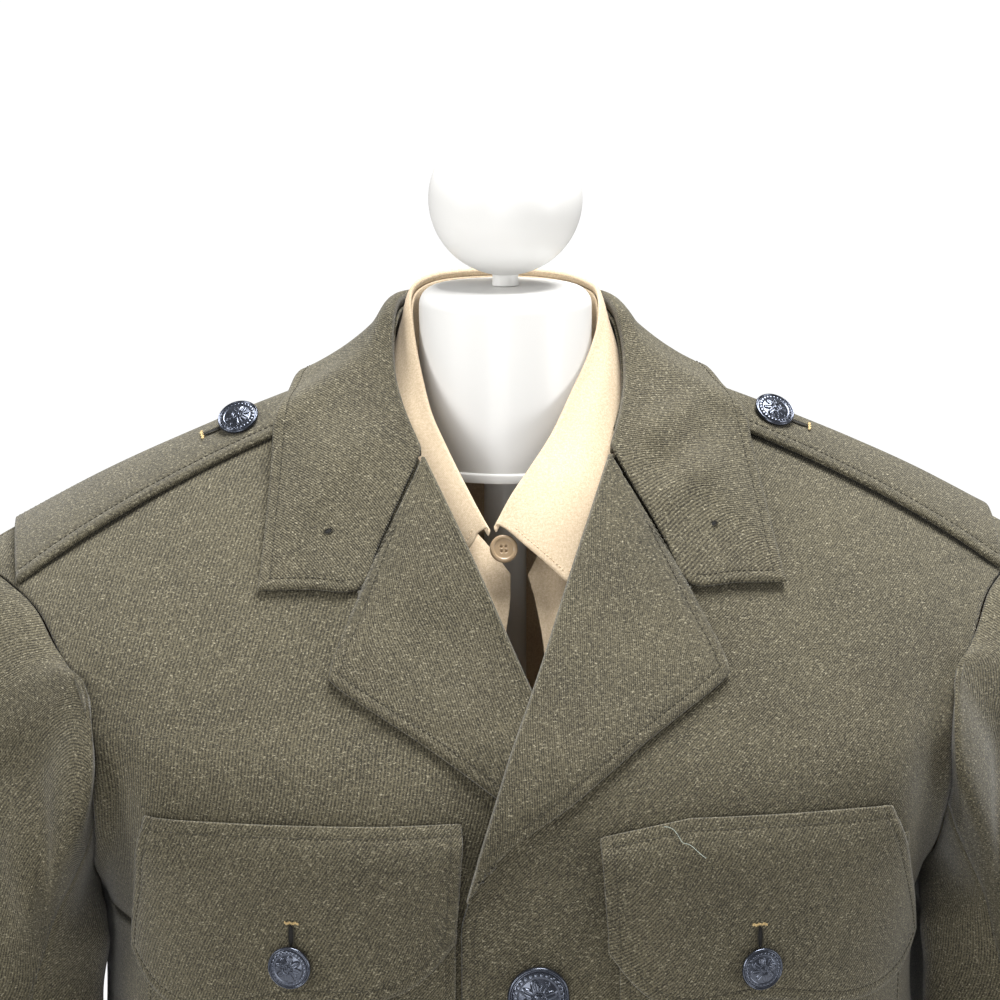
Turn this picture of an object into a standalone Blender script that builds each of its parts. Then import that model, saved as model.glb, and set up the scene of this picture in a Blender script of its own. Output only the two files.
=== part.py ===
"""Service coat and open shirt on a display stand, at real size in metres.

The coat front faces -Y and its left side is +X, as the wearer's left. The origin is
the centre of the base's underside. Cloth pieces are open surfaces given a wall by
Solidify. Sections of the body are flattened ellipses that close to the shoulder line.
"""
import math

import bpy
import numpy as np
from mathutils import Vector

COLLECTION = "dress_uniform"
LEFT, RIGHT = 1, -1
FRONT, BACK = -1, 1
HAND_NAMES = {LEFT: "left", RIGHT: "right"}

# Cloth and seams
COAT_WALL = 0.0020
TURNED_WALL = 0.0016
STAND_WALL = 0.0012
SHIRT_WALL = 0.0010
SEAM = 0.0004
RIDGE_SEAM = 0.0012
ARMHOLE_SEAM = 0.0017

# Coat landmarks: heights above the floor and distances from the centre plane
HEM = 0.655
ARMPIT = 1.165
BREAK = 1.190
ROLL_TOP = 1.351
SHOULDER_TIP = 0.228
FRONT_OVERLAP = 0.030
RISE = 1.225

# Shirt landmarks
SHIRT_HEM = 0.70
SHIRT_ARMPIT = 1.186
SHIRT_TIP = 0.215
SHIRT_DROP = 0.0055

# Display stand
BASE_RADIUS, BASE_HEIGHT = 0.150, 0.014
POST_RADIUS = 0.009
NECK_RADIUS, NECK_FOOT, NECK_TOP = 0.0365, 1.3385, 1.4170
BALL_RADIUS, BALL_CENTRE = 0.0325, 1.4540
STEM_RADIUS = 0.0055
REST_GAP = 0.0003


# Tables with named columns, read by a smooth curve through their rows
def table(columns, *rows):
    values = np.array(rows, float)
    return {name: values[:, index] for index, name in enumerate(columns.split())}


def curve_through(knots, values, at):
    """Hermite curve through values at the knots, flat beyond the ends."""
    slopes = np.gradient(values, knots)
    at = np.clip(np.asarray(at, float), knots[0], knots[-1])
    cell = np.clip(np.searchsorted(knots, at) - 1, 0, len(knots) - 2)
    step = knots[cell + 1] - knots[cell]
    t = (at - knots[cell]) / step
    near = (1 + 2 * t) * (1 - t) ** 2 * values[cell] + t * (1 - t) ** 2 * step * slopes[cell]
    far = t * t * (3 - 2 * t) * values[cell + 1] + t * t * (t - 1) * step * slopes[cell + 1]
    return near + far


def read(rows, column, at, along="height"):
    return curve_through(rows[along], rows[column], at)


def smooth(value):
    value = np.clip(value, 0.0, 1.0)
    return value * value * (3 - 2 * value)


COAT_BODY = table(
    "height half_width front_depth back_depth squareness",
    (0.655, 0.196, 0.128, 0.120, 2.6),
    (0.820, 0.186, 0.130, 0.118, 2.6),
    (0.980, 0.172, 0.132, 0.104, 2.7),
    (1.100, 0.172, 0.143, 0.118, 2.8),
    (1.170, 0.176, 0.147, 0.126, 2.9),
    (1.220, 0.196, 0.145, 0.126, 3.0),
    (1.280, 0.236, 0.136, 0.118, 3.0),
    (1.330, 0.268, 0.128, 0.110, 3.0),
    (1.420, 0.300, 0.120, 0.100, 3.0),
)
SHIRT_BODY = table(
    "height half_width front_depth back_depth squareness",
    (0.700, 0.172, 0.106, 0.098, 2.4),
    (0.900, 0.160, 0.106, 0.090, 2.4),
    (1.100, 0.158, 0.114, 0.102, 2.6),
    (1.170, 0.163, 0.116, 0.112, 2.8),
    (1.220, 0.183, 0.113, 0.113, 2.9),
    (1.280, 0.222, 0.108, 0.106, 3.0),
    (1.330, 0.254, 0.104, 0.099, 3.0),
    (1.420, 0.286, 0.100, 0.090, 3.0),
)
SHOULDER_LINE = table(
    "out height",
    (0.000, 1.3975),
    (0.062, 1.3795),
    (0.083, 1.3715),
    (0.151, 1.3450),
    (0.214, 1.3130),
    (0.240, 1.2985),
)
# How the depth falls to the shoulder line: rise power, then depth power
SHOULDER_FALL = {FRONT: (1.25, 0.68), BACK: (2.2, 0.60)}


class BodyForm:
    """The surface that a garment's body panels are cut from."""

    def __init__(self, rows, drop):
        self.rows = rows
        self.drop = drop
        self.outs = np.linspace(0.0, 0.240, 241)
        self.crests = read(SHOULDER_LINE, "height", self.outs, "out") - drop

    def crest(self, x):
        return np.interp(np.abs(x), self.outs, self.crests)

    def crest_out(self, z):
        return np.interp(-np.asarray(z), -self.crests, self.outs)

    def half_width(self, z):
        return read(self.rows, "half_width", z)

    def depth(self, x, z, face):
        """Signed y of the surface at width x and height z, on the front or the back."""
        column = "front_depth" if face == FRONT else "back_depth"
        power, fall = SHOULDER_FALL[face]
        square = read(self.rows, "squareness", z)
        across = np.clip(1 - (np.abs(x) / self.half_width(z)) ** square, 0, 1) ** (1 / square)
        rise = np.clip((z - RISE) / (self.crest(x) - RISE), 0, 1)
        return face * read(self.rows, column, z) * across * (1 - rise ** power) ** fall

    def out_at(self, reach, z, face):
        """Width at which the section at height z is reach in front of or behind the shoulder."""
        x = np.linspace(0.04, self.half_width(z), 4000)
        return float(np.interp(-reach, -np.abs(self.depth(x, z, face)), x))

    def section(self, z, x_from, x_to, face, shares):
        """Points at height z from x_from out to x_to, spaced by shares of the length."""
        x = x_from + (x_to - x_from) * np.sin(np.linspace(0, math.pi / 2, 500))
        y = self.depth(x, z, face)
        length = np.concatenate([[0], np.cumsum(np.hypot(np.diff(x), np.diff(y)))])
        at = np.asarray(shares) * length[-1]
        return np.stack([np.interp(at, length, x), np.interp(at, length, y), np.full(len(at), z)], -1)

    def over_shoulder(self, x, arcs):
        """Points on the profile at width x, by distance from the shoulder line, front negative."""
        drop = np.linspace(0, 1, 160) ** 2 * 0.09
        z = self.crest(x) - drop
        halves = {}
        for face in (FRONT, BACK):
            y = self.depth(x, z, face)
            length = np.concatenate([[0], np.cumsum(np.hypot(np.diff(y), np.diff(z)))])
            halves[face] = (length, y)
        points = []
        for arc in arcs:
            length, y = halves[FRONT if arc < 0 else BACK]
            points.append((x, np.interp(abs(arc), length, y), np.interp(abs(arc), length, z)))
        return points


COAT = BodyForm(COAT_BODY, 0.0)
SHIRT = BodyForm(SHIRT_BODY, SHIRT_DROP)


# Meshes, materials and walls
def make_material(name, colour, roughness, metallic=0.0):
    material = bpy.data.materials.new(name)
    material.use_nodes = True
    shader = material.node_tree.nodes["Principled BSDF"]
    shader.inputs["Base Color"].default_value = (*colour, 1.0)
    shader.inputs["Roughness"].default_value = roughness
    shader.inputs["Metallic"].default_value = metallic
    material.diffuse_color = (*colour, 1.0)
    return material


def add_object(name, mesh, material):
    mesh.materials.append(material)
    part = bpy.data.objects.new(name, mesh)
    bpy.data.collections[COLLECTION].objects.link(part)
    return part


def grid_mesh(name, points, mirrored=False, closed=False):
    """A sheet through rows of points; closed joins the last column to the first."""
    rows, columns = points.shape[:2]
    index = np.arange(rows * columns).reshape(rows, columns)
    if closed:
        index = np.concatenate([index, index[:, :1]], 1)
    corners = (index[:-1, :-1], index[:-1, 1:], index[1:, 1:], index[1:, :-1])
    faces = np.stack([corner.ravel() for corner in corners], -1)
    if mirrored:
        faces = faces[:, ::-1]
    mesh = bpy.data.meshes.new(name)
    mesh.from_pydata(points.reshape(-1, 3).tolist(), [], faces.tolist())
    mesh.shade_smooth()
    return mesh


def add_wall(name, points, material, thickness, mirrored=False, closed=False):
    """A cloth piece: its outer surface is the grid and its wall lies inside it."""
    part = add_object(name, grid_mesh(name, points, mirrored, closed), material)
    solidify = part.modifiers.new("Wall", "SOLIDIFY")
    solidify.thickness = thickness
    solidify.offset = -1.0
    solidify.use_even_offset = False
    solidify.use_quality_normals = True
    return part


def add_turned(name, profile, material, steps):
    """A turned piece: its profile of radius and height runs from the top down."""
    mesh = bpy.data.meshes.new(name)
    edges = [(index, index + 1) for index in range(len(profile) - 1)]
    mesh.from_pydata([(radius, 0.0, height) for radius, height in profile], edges, [])
    part = add_object(name, mesh, material)
    screw = part.modifiers.new("Turn", "SCREW")
    screw.steps = steps
    screw.render_steps = steps
    screw.use_merge_vertices = True
    screw.merge_threshold = 0.00005
    screw.use_smooth_shade = True
    return part


def grid_normals(points):
    """Unit normals of a grid: the column direction crossed with the row direction."""
    across = np.gradient(points, axis=1)
    along = np.gradient(points, axis=0)
    normals = np.cross(across, along)
    return normals / np.linalg.norm(normals, axis=-1, keepdims=True)


def mirror(points, hand):
    return points * np.array([hand, 1.0, 1.0])


# Coat outlines, in distance from the centre plane, positive on the piece's own side
ROLL_LINE = table(
    "height out",
    (BREAK, -0.0295),
    (1.2335, -0.0148),
    (1.2690, 0.0008),
    (1.3080, 0.0175),
    (1.3350, 0.0300),
    (ROLL_TOP, 0.0375),
)
NECK_EDGE = table(
    "height front_out back_out",
    (1.3510, 0.0395, 0.0004),
    (1.3635, 0.0495, 0.0004),
    (1.3665, 0.0518, 0.0350),
    (1.3710, 0.0555, 0.0470),
    (1.3755, 0.0592, 0.0550),
    (1.3795, 0.0620, 0.0620),
)
ARMHOLE = table(
    "height front_reach back_reach",
    (ARMPIT, 0.000, 0.000),
    (1.170, 0.027, 0.026),
    (1.178, 0.045, 0.043),
    (1.190, 0.064, 0.060),
    (1.203, 0.081, 0.073),
    (1.220, 0.093, 0.082),
    (1.239, 0.099, 0.085),
    (1.256, 0.092, 0.081),
    (1.2685, 0.0815, 0.074),
    (1.281, 0.068, 0.063),
    (1.292, 0.053, 0.050),
    (1.3005, 0.033, 0.034),
)
BODY_HEIGHTS = (HEM, 0.74, 0.84, 0.94, 1.03, 1.10, 1.14)
SHOULDER_HEIGHTS = (1.318, 1.331, 1.343, 1.351, 1.3635, 1.3665, 1.3710, 1.3755)
FRONT_SHARES = (0, 0.04, 0.12, 0.20, 0.29, 0.40, 0.52, 0.64, 0.76, 0.88, 0.98, 1)
BACK_SHARES = (0, 0.03, 0.16, 0.32, 0.48, 0.63, 0.78, 0.90, 0.98, 1)


def tip_height(form, tip):
    return float(form.crest(tip))


def armhole_line(garment, face):
    """The armhole's points on one face, from the armpit up to the shoulder tip."""
    column = "front_reach" if face == FRONT else "back_reach"
    form, tip = garment["form"], garment["tip"]
    stretch = (tip_height(form, tip) - garment["armpit"]) / (tip_height(COAT, SHOULDER_TIP) - ARMPIT)
    rows = slice(None, None, garment["every"])
    points = []
    for height, reach in zip(ARMHOLE["height"][rows], ARMHOLE[column][rows]):
        z = garment["armpit"] + (height - ARMPIT) * stretch
        out = form.out_at(reach * garment["reach"], z, face)
        points.append((out, float(form.depth(out, z, face)), z))
    points.append((tip, 0.0, tip_height(form, tip)))
    return np.array(points)


COAT_GARMENT = dict(form=COAT, tip=SHOULDER_TIP, armpit=ARMPIT, reach=1.0, every=1)
SHIRT_GARMENT = dict(form=SHIRT, tip=SHIRT_TIP, armpit=SHIRT_ARMPIT, reach=0.76, every=2)


def inner_edge(z, face):
    """Where a coat panel starts at height z: front edge, roll line or neck seam."""
    if face == BACK:
        return read(NECK_EDGE, "back_out", z) if z > 1.3640 else SEAM
    if z < BREAK:
        return -FRONT_OVERLAP
    if z <= ROLL_TOP:
        return read(ROLL_LINE, "out", z) + 0.0030
    return read(NECK_EDGE, "front_out", z)


SINK_OUT, SINK_OUT_FADE = 0.010, 0.060
SINK_TOP, SINK_TOP_FADE = 1.275, 0.045
SINK_DEPTH, SINK_BY_LAPEL, LAPEL_FOOT = 0.0034, 0.0048, 1.140


def front_sink(u, z, hand):
    """How far the right front lies in, under the left one that closes over it."""
    if hand == LEFT:
        return np.zeros(np.broadcast(u, z).shape)
    near = 1 - smooth((np.asarray(u) - SINK_OUT) / SINK_OUT_FADE)
    below = 1 - smooth((np.asarray(z) - SINK_TOP) / SINK_TOP_FADE)
    deep = SINK_DEPTH + SINK_BY_LAPEL * smooth((np.asarray(z) - LAPEL_FOOT) / SINK_TOP_FADE)
    return near * below * deep


def front_surface(u, z, hand, out=0.0):
    """Points on a coat front's outer surface, moved out along its normal."""
    u, z = np.broadcast_arrays(np.asarray(u, float), np.asarray(z, float))

    def depth(at_u, at_z):
        return COAT.depth(at_u, at_z, FRONT) + front_sink(at_u, at_z, hand)

    step = 0.0004
    slope_u = (depth(u + step, z) - depth(u - step, z)) / (2 * step)
    slope_z = (depth(u, z + step) - depth(u, z - step)) / (2 * step)
    normal = np.stack([slope_u, -np.ones_like(slope_u), slope_z], -1)
    normal /= np.linalg.norm(normal, axis=-1, keepdims=True)
    return np.stack([u, depth(u, z), z], -1) + normal * np.asarray(out)[..., None]


def back_surface(x, z, out=0.0):
    """A point on the coat back's outer surface, moved out along its normal."""
    step = 0.0004
    slope_x = (COAT.depth(x + step, z, BACK) - COAT.depth(x - step, z, BACK)) / (2 * step)
    slope_z = (COAT.depth(x, z + step, BACK) - COAT.depth(x, z - step, BACK)) / (2 * step)
    normal = np.array([-slope_x, 1.0, -slope_z])
    normal /= np.linalg.norm(normal)
    return np.array([x, float(COAT.depth(x, z, BACK)), z]) + normal * out


# Coat body panels
def panel_places(garment, face, low, high):
    """Each row's height and outer end: up the side seam, armhole and shoulder seam."""
    form = garment["form"]
    places = [(z, float(form.half_width(z))) for z in low]
    places += [(z, out) for out, _, z in armhole_line(garment, face)[:-1]]
    heights = (tip_height(form, garment["tip"]), *high)
    return places + [(z, form.out_at(RIDGE_SEAM, z, face)) for z in heights]


def open_side_seam(points, low, face):
    """Half the side seam's gap, on the rows up to the armpit."""
    points[:len(low) + 1, -1, 1] += face * SEAM / 2
    return points


def coat_panel_rows(face, shares, hand):
    rows = []
    for z, out in panel_places(COAT_GARMENT, face, BODY_HEIGHTS, SHOULDER_HEIGHTS):
        rows.append(COAT.section(z, inner_edge(z, face), out, face, shares))
    points = np.array(rows)
    if face == FRONT:
        points[..., 1] += front_sink(points[..., 0], points[..., 2], hand)
    return open_side_seam(points, BODY_HEIGHTS, face)


def build_coat_body(cloth):
    for hand in (LEFT, RIGHT):
        name = HAND_NAMES[hand]
        front = mirror(coat_panel_rows(FRONT, FRONT_SHARES, hand), hand)
        add_wall(f"coat_front_{name}", front, cloth, COAT_WALL, mirrored=hand == RIGHT)
        back = mirror(coat_panel_rows(BACK, BACK_SHARES, hand), hand)
        add_wall(f"coat_back_{name}", back, cloth, COAT_WALL, mirrored=hand == LEFT)


# Sleeves: a cap that leaves the armhole and falls into the arm's rings
COAT_ARM = table(
    "height centre_out centre_y half_width half_depth",
    (0.700, 0.2440, -0.044, 0.0380, 0.059),
    (0.800, 0.2390, -0.031, 0.0400, 0.064),
    (0.900, 0.2340, -0.019, 0.0425, 0.069),
    (0.980, 0.2300, -0.011, 0.0445, 0.073),
    (1.050, 0.2275, -0.007, 0.0460, 0.076),
    (1.120, 0.2260, -0.004, 0.0470, 0.079),
)
SHIRT_ARM = table(
    "height centre_out centre_y half_width half_depth",
    (1.060, 0.2265, -0.006, 0.0340, 0.054),
    (1.110, 0.2275, -0.004, 0.0340, 0.054),
)
CAP_SHARES = (0, 0.12, 0.27, 0.44, 0.62, 0.81)
ARMHOLE_MIDDLE_IN, ARMHOLE_MIDDLE_UP = 0.078, 0.065
COAT_CAP = table("under outward normal down", (0, 0.80, 0.30, 0.0), (0.5, 0.45, 0.40, 0.30), (1, 0, 0.6, 0.8))
SHIRT_CAP = table("under outward normal down", (0, 0.60, 0.06, 0.0), (0.5, 0.35, 0.30, 0.05), (1, 0, 1.0, 0))


def armhole_normals(garment, face):
    """The panel's outward direction at each armhole point, from the armpit up."""
    form = garment["form"]
    line = armhole_line(garment, face)
    along = np.gradient(line, axis=0)
    normals = []
    for (out, _, z), way in zip(line, along):
        turn = form.section(z, out - 0.012, out, face, (0.0, 1.0))
        normal = np.cross(turn[1] - turn[0], way)
        normal *= np.sign(normal @ np.array([0.6, 0.6 * face, 0.5]))
        normals.append(normal / np.linalg.norm(normal))
    normals[0] = np.array([1.0, 0.0, 0.0])
    normals[-1] = np.array([0.35, 0.0, 0.94])
    return np.array(normals)


def sleeve_columns(garment):
    """The armhole loop from the tip down the front and up the back, with its directions."""
    front = armhole_line(garment, FRONT)[::-1]
    back = armhole_line(garment, BACK)
    loop = np.concatenate([front, back[1:-1]])
    steps = np.linalg.norm(np.roll(loop, -1, 0) - loop, axis=1)
    half = len(front) - 1
    angle = np.zeros(len(loop))
    angle[1:half + 1] = math.pi * np.cumsum(steps[:half]) / steps[:half].sum()
    angle[half + 1:] = math.pi * (1 + np.cumsum(steps[half:-1]) / steps[half:].sum())
    along = np.roll(loop, -1, 0) - np.roll(loop, 1, 0)
    along /= np.linalg.norm(along, axis=1, keepdims=True)
    normal = np.concatenate([armhole_normals(garment, FRONT)[::-1], armhole_normals(garment, BACK)[1:-1]])
    normal -= along * np.sum(normal * along, 1, keepdims=True)
    normal /= np.linalg.norm(normal, axis=1, keepdims=True)
    outward = np.cross(along, normal)
    middle = np.array([garment["tip"] - ARMHOLE_MIDDLE_IN, 0.0, garment["armpit"] + ARMHOLE_MIDDLE_UP])
    outward *= np.sign(np.sum(outward * (loop - middle), 1, keepdims=True))
    return loop, angle, normal, outward


def arm_ring(arm, z, angle):
    out = read(arm, "centre_out", z) + read(arm, "half_width", z) * np.cos(angle)
    y = read(arm, "centre_y", z) - read(arm, "half_depth", z) * np.sin(angle)
    return np.stack([out, y, np.full(len(angle), z)], -1)


def sleeve_rings(garment, cap, arm):
    """Rings of one sleeve from the armhole down, columns round from the tip by the front."""
    loop, angle, normal, outward = sleeve_columns(garment)
    under = (1 - np.cos(angle)) / 2
    start = loop + outward * ARMHOLE_SEAM + normal * SEAM * (1.5 + under)[:, None]
    heights = arm["height"][::-1]
    end = arm_ring(arm, heights[0], angle)
    reach = np.linalg.norm(end - start, axis=1, keepdims=True)
    down = np.array([0.0, 0.0, -1.0])
    leave = np.zeros(loop.shape)
    for key, way in (("outward", outward), ("normal", normal), ("down", down)):
        leave += way * read(cap, key, under, "under")[:, None] * reach
    arrive = down * reach * (1.15 - 0.2 * under)[:, None]
    rings = []
    for t in CAP_SHARES:
        near = (1 + 2 * t) * (1 - t) ** 2 * start + t * (1 - t) ** 2 * leave
        rings.append(near + t * t * (3 - 2 * t) * end + t * t * (t - 1) * arrive)
    rings += [arm_ring(arm, z, angle) for z in heights]
    return np.array(rings)


def split_ring(rings, first, last):
    """The columns between two seams, each seam in the middle of a facet."""
    count = rings.shape[1]
    inner = [index % count for index in range(first + 1, last + 1)]
    starts = (rings[:, first % count] + rings[:, (first + 1) % count]) / 2
    ends = (rings[:, last % count] + rings[:, (last + 1) % count]) / 2
    piece = np.concatenate([starts[:, None], rings[:, inner], ends[:, None]], 1)
    for edge, beside in ((0, 1), (-1, -2)):
        step = piece[:, beside] - piece[:, edge]
        piece[:, edge] += step / np.linalg.norm(step, axis=1, keepdims=True) * SEAM / 2
    return piece


def build_coat_sleeves(cloth):
    """Top and under sleeve, split where the armhole turns under the arm."""
    rings = sleeve_rings(COAT_GARMENT, COAT_CAP, COAT_ARM)
    count = rings.shape[1]
    front_seam, back_seam = count // 2 - 5, count // 2 + 4
    under = split_ring(rings, front_seam, back_seam)
    top = split_ring(rings, back_seam, front_seam + count)
    for hand in (LEFT, RIGHT):
        name = HAND_NAMES[hand]
        for label, piece in (("top", top), ("under", under)):
            points = mirror(piece, hand)
            add_wall(f"coat_{label}_sleeve_{name}", points, cloth, COAT_WALL, mirrored=hand == RIGHT)


# Turned edges: lapels and collar share the fold's outline, as steps out from the neck and up
FOLD = table(
    "out up",
    (-0.0012, -0.0050),
    (-0.0016, -0.0020),
    (-0.0004, 0.0000),
    (0.0018, -0.0002),
)
LAPEL_RISE = 0.0052
LAPEL_ACROSS = table("share height", (0.30, 0.0048), (0.65, 0.0040), (1.00, 0.0033))
LAPEL_EDGE = table(
    "share out height",
    (0.00, -0.0205, 1.2005),
    (0.08, -0.0105, 1.2100),
    (0.20, 0.0090, 1.2238),
    (0.33, 0.0255, 1.2352),
    (0.46, 0.0420, 1.2470),
    (0.58, 0.0600, 1.2585),
    (0.68, 0.0770, 1.2690),
    (0.73, 0.0808, 1.2722),
    (0.77, 0.0796, 1.2770),
    (0.88, 0.0735, 1.2900),
    (1.00, 0.0668, 1.3036),
)


def turned_row(roll, edge, hand, lying):
    """A row over a front from the fold at roll to edge, both as distance out and height."""
    across = edge - roll
    width = np.linalg.norm(across)
    across = across / width
    low = lying - LAPEL_RISE
    steps = list(zip(FOLD["out"], FOLD["up"] + lying))
    turned = FOLD["out"][-1]
    for share, height in zip(LAPEL_ACROSS["share"], LAPEL_ACROSS["height"]):
        steps.append((turned + share * (width - turned), height + low))
    u = roll[0] + across[0] * np.array([step for step, _ in steps])
    z = roll[1] + across[1] * np.array([step for step, _ in steps])
    return front_surface(u, z, hand, np.array([height for _, height in steps]))


def lapel_points(hand):
    """A lapel: ruled from the fold to its edge, lying a little off its front."""
    rows = []
    for share, edge_out, edge_z in zip(*LAPEL_EDGE.values()):
        roll_z = BREAK + 0.0005 + share * (ROLL_TOP - BREAK - 0.0020)
        roll = np.array([float(read(ROLL_LINE, "out", roll_z)) + 0.0016, roll_z])
        lying = LAPEL_RISE
        if hand == RIGHT:
            lying -= 0.0008 * (1 - smooth((roll_z - 1.262) / 0.030))
        rows.append(turned_row(roll, np.array([edge_out, edge_z]), hand, lying))
    return np.array(rows)


def build_lapels(cloth):
    for hand in (LEFT, RIGHT):
        points = mirror(lapel_points(hand), hand)
        add_wall(f"lapel_{HAND_NAMES[hand]}", points, cloth, TURNED_WALL, mirrored=hand == RIGHT)


# Collar: stations run round the neck from the gorge to the centre back
COLLAR_FOLD = table(
    "station x y z up_y up_z",
    (0, 0.0380, -0.0575, 1.3515, -0.90, 0.45),
    (1, 0.0446, -0.0430, 1.3665, -0.75, 0.66),
    (2, 0.0488, -0.0270, 1.3805, -0.50, 0.87),
    (3, 0.0496, -0.0120, 1.3950, -0.25, 0.97),
    (4, 0.0480, 0.0020, 1.4070, 0.00, 1.00),
    (5, 0.0442, 0.0200, 1.4110, 0.05, 1.00),
    (6, 0.0372, 0.0370, 1.4110, 0.10, 1.00),
    (7, 0.0262, 0.0500, 1.4100, 0.10, 1.00),
    (8, 0.0132, 0.0580, 1.4090, 0.10, 1.00),
    (9, 0.0000, 0.0610, 1.4085, 0.10, 1.00),
)
COLLAR_EDGE = table(
    "station x z face off sag",
    (0, 0.1077, 1.3028, FRONT, 0.0036, 0.0010),
    (1, 0.1046, 1.3200, FRONT, 0.0040, 0.0030),
    (2, 0.1010, 1.3380, FRONT, 0.0055, 0.0020),
    (3, 0.0950, 1.3590, FRONT, 0.0115, -0.0005),
    (4, 0.0835, 1.3700, BACK, 0.0110, -0.0030),
    (5, 0.0745, 1.3680, BACK, 0.0080, -0.0040),
    (6, 0.0600, 1.3600, BACK, 0.0055, -0.0020),
    (7, 0.0410, 1.3530, BACK, 0.0040, -0.0010),
    (8, 0.0205, 1.3495, BACK, 0.0038, 0.0),
    (9, 0.0000, 1.3485, BACK, 0.0038, 0.0),
)
STAND_FOOT = table(
    "station x z",
    (0.5, 0.0400, 1.3540),
    (1, 0.0430, 1.3585),
    (2, 0.0490, 1.3660),
    (3, 0.0535, 1.3720),
    (4, 0.0590, 1.3795),
    (5, 0.0545, 1.3770),
    (6, 0.0435, 1.3712),
    (7, 0.0300, 1.3668),
    (8, 0.0150, 1.3657),
    (9, 0.0000, 1.3657),
)
COLLAR_STATIONS = (0, 0.5, 1, 1.5, 2, 2.5, 3, 3.5, 4, 4.6, 5.3, 6, 7, 8, 9)
COLLAR_SHARES = (0.20, 0.40, 0.60, 0.80, 1.00)
NOTCH = (0.0676, 1.3043)
COLLAR_GORGE = (0.0397, 1.3520)


def collar_frame(station):
    """The fold's point at a station, with its directions out from the neck and up."""
    def at(where):
        return np.array([float(read(COLLAR_FOLD, axis, where, "station")) for axis in "xyz"])
    along = at(min(station + 0.2, 9)) - at(max(station - 0.2, 0))
    if station >= 9:
        along = np.array([-1.0, 0.0, 0.0])
    along /= np.linalg.norm(along)
    up = np.array([0.0, *(float(read(COLLAR_FOLD, key, station, "station")) for key in ("up_y", "up_z"))])
    up -= along * (up @ along)
    up /= np.linalg.norm(up)
    out = np.cross(up, along)
    if out @ np.array([at(station)[0], at(station)[1] - 0.005, 0.0]) < 0:
        out = -out
    return at(station), out, up


def collar_edge_point(station):
    """The collar's outer edge at a station, standing off the coat beneath it."""
    low = int(min(math.floor(station), 8))
    ends = []
    for row in (low, low + 1):
        x, z, off = (COLLAR_EDGE[key][row] for key in ("x", "z", "off"))
        if COLLAR_EDGE["face"][row] == FRONT:
            ends.append(front_surface(x, z, LEFT, off))
        elif z > COAT.crest(x) - 0.0005:
            ends.append(np.array([x, 0.0, float(COAT.crest(x)) + off]))
        else:
            ends.append(back_surface(x, z, off))
    mix = station - low
    return ends[0] * (1 - mix) + ends[1] * mix


def gorge_row():
    """The collar's first row: down the gorge seam to the notch, then out to its corner."""
    row = list(turned_row(np.array(COLLAR_GORGE), np.array(NOTCH), LEFT, LAPEL_RISE))
    corner = np.array([COLLAR_EDGE["x"][0], COLLAR_EDGE["z"][0]])
    for share in (0.5, 1.0):
        u, z = np.array(NOTCH) + (corner - np.array(NOTCH)) * share
        row.append(front_surface(u, z, LEFT, COLLAR_EDGE["off"][0]))
    return row


def collar_row(station):
    if station == 0:
        return gorge_row()
    point, out, up = collar_frame(station)
    row = [point + out * step + up * rise for step, rise in zip(FOLD["out"], FOLD["up"])]
    edge = collar_edge_point(station)
    sag = float(read(COLLAR_EDGE, "sag", station, "station"))
    start = row[-1]
    for share in COLLAR_SHARES:
        row.append(start + (edge - start) * share + up * sag * 4 * share * (1 - share))
    return row


def whole_from_half(rows):
    """Both sides of a piece from its left half, whose last row is on the centre plane."""
    half = np.array(rows)
    return np.concatenate([half, mirror(half[-2::-1], -1)])


def build_collar(cloth):
    fall = whole_from_half([collar_row(station) for station in COLLAR_STATIONS])
    add_wall("collar_fall", fall, cloth, TURNED_WALL)
    rows = []
    for station in COLLAR_STATIONS[2:]:
        point, out, up = collar_frame(station)
        top = point + out * FOLD["out"][0] + up * (FOLD["up"][0] - 2 * SEAM)
        x, z = (float(read(STAND_FOOT, key, station, "station")) for key in ("x", "z"))
        face = FRONT if station < 4 else BACK
        foot = np.array([x, float(COAT.depth(x, min(z, float(COAT.crest(x))), face)), z])
        rows.append([foot, foot * 0.5 + top * 0.5 - out * 0.0008, top])
    add_wall("collar_stand", whole_from_half(rows), cloth, STAND_WALL, mirrored=True)


# Shoulder straps lie over the shoulder line, from under the collar to the sleeve
STRAP = table(
    "out forward width",
    (0.070, 0.000, 0.044),
    (0.095, 0.001, 0.046),
    (0.125, 0.004, 0.048),
    (0.165, 0.0105, 0.050),
    (0.206, 0.0170, 0.052),
)
STRAP_OFF = 0.0028
STRAP_STATIONS = (0.070, 0.095, 0.120, 0.145, 0.170, 0.190, 0.2055)
STRAP_BUTTON_OUT, STRAP_BUTTON_FORWARD = 0.1115, 0.009
STRAP_BUTTON_LIFT, STRAP_BUTTON_TILT = 0.0008, 0.35


def strap_points():
    rows = []
    for out in STRAP_STATIONS:
        forward, width = (float(read(STRAP, key, out, "out")) for key in ("forward", "width"))
        arcs = -forward + width * np.linspace(0.5, -0.5, 9)
        rows.append(COAT.over_shoulder(out, arcs))
    points = np.array(rows)
    return points + grid_normals(points) * STRAP_OFF


def build_straps(cloth):
    for hand in (LEFT, RIGHT):
        points = mirror(strap_points(), hand)
        name = f"shoulder_strap_{HAND_NAMES[hand]}"
        add_wall(name, points, cloth, COAT_WALL, mirrored=hand == RIGHT)


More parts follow.
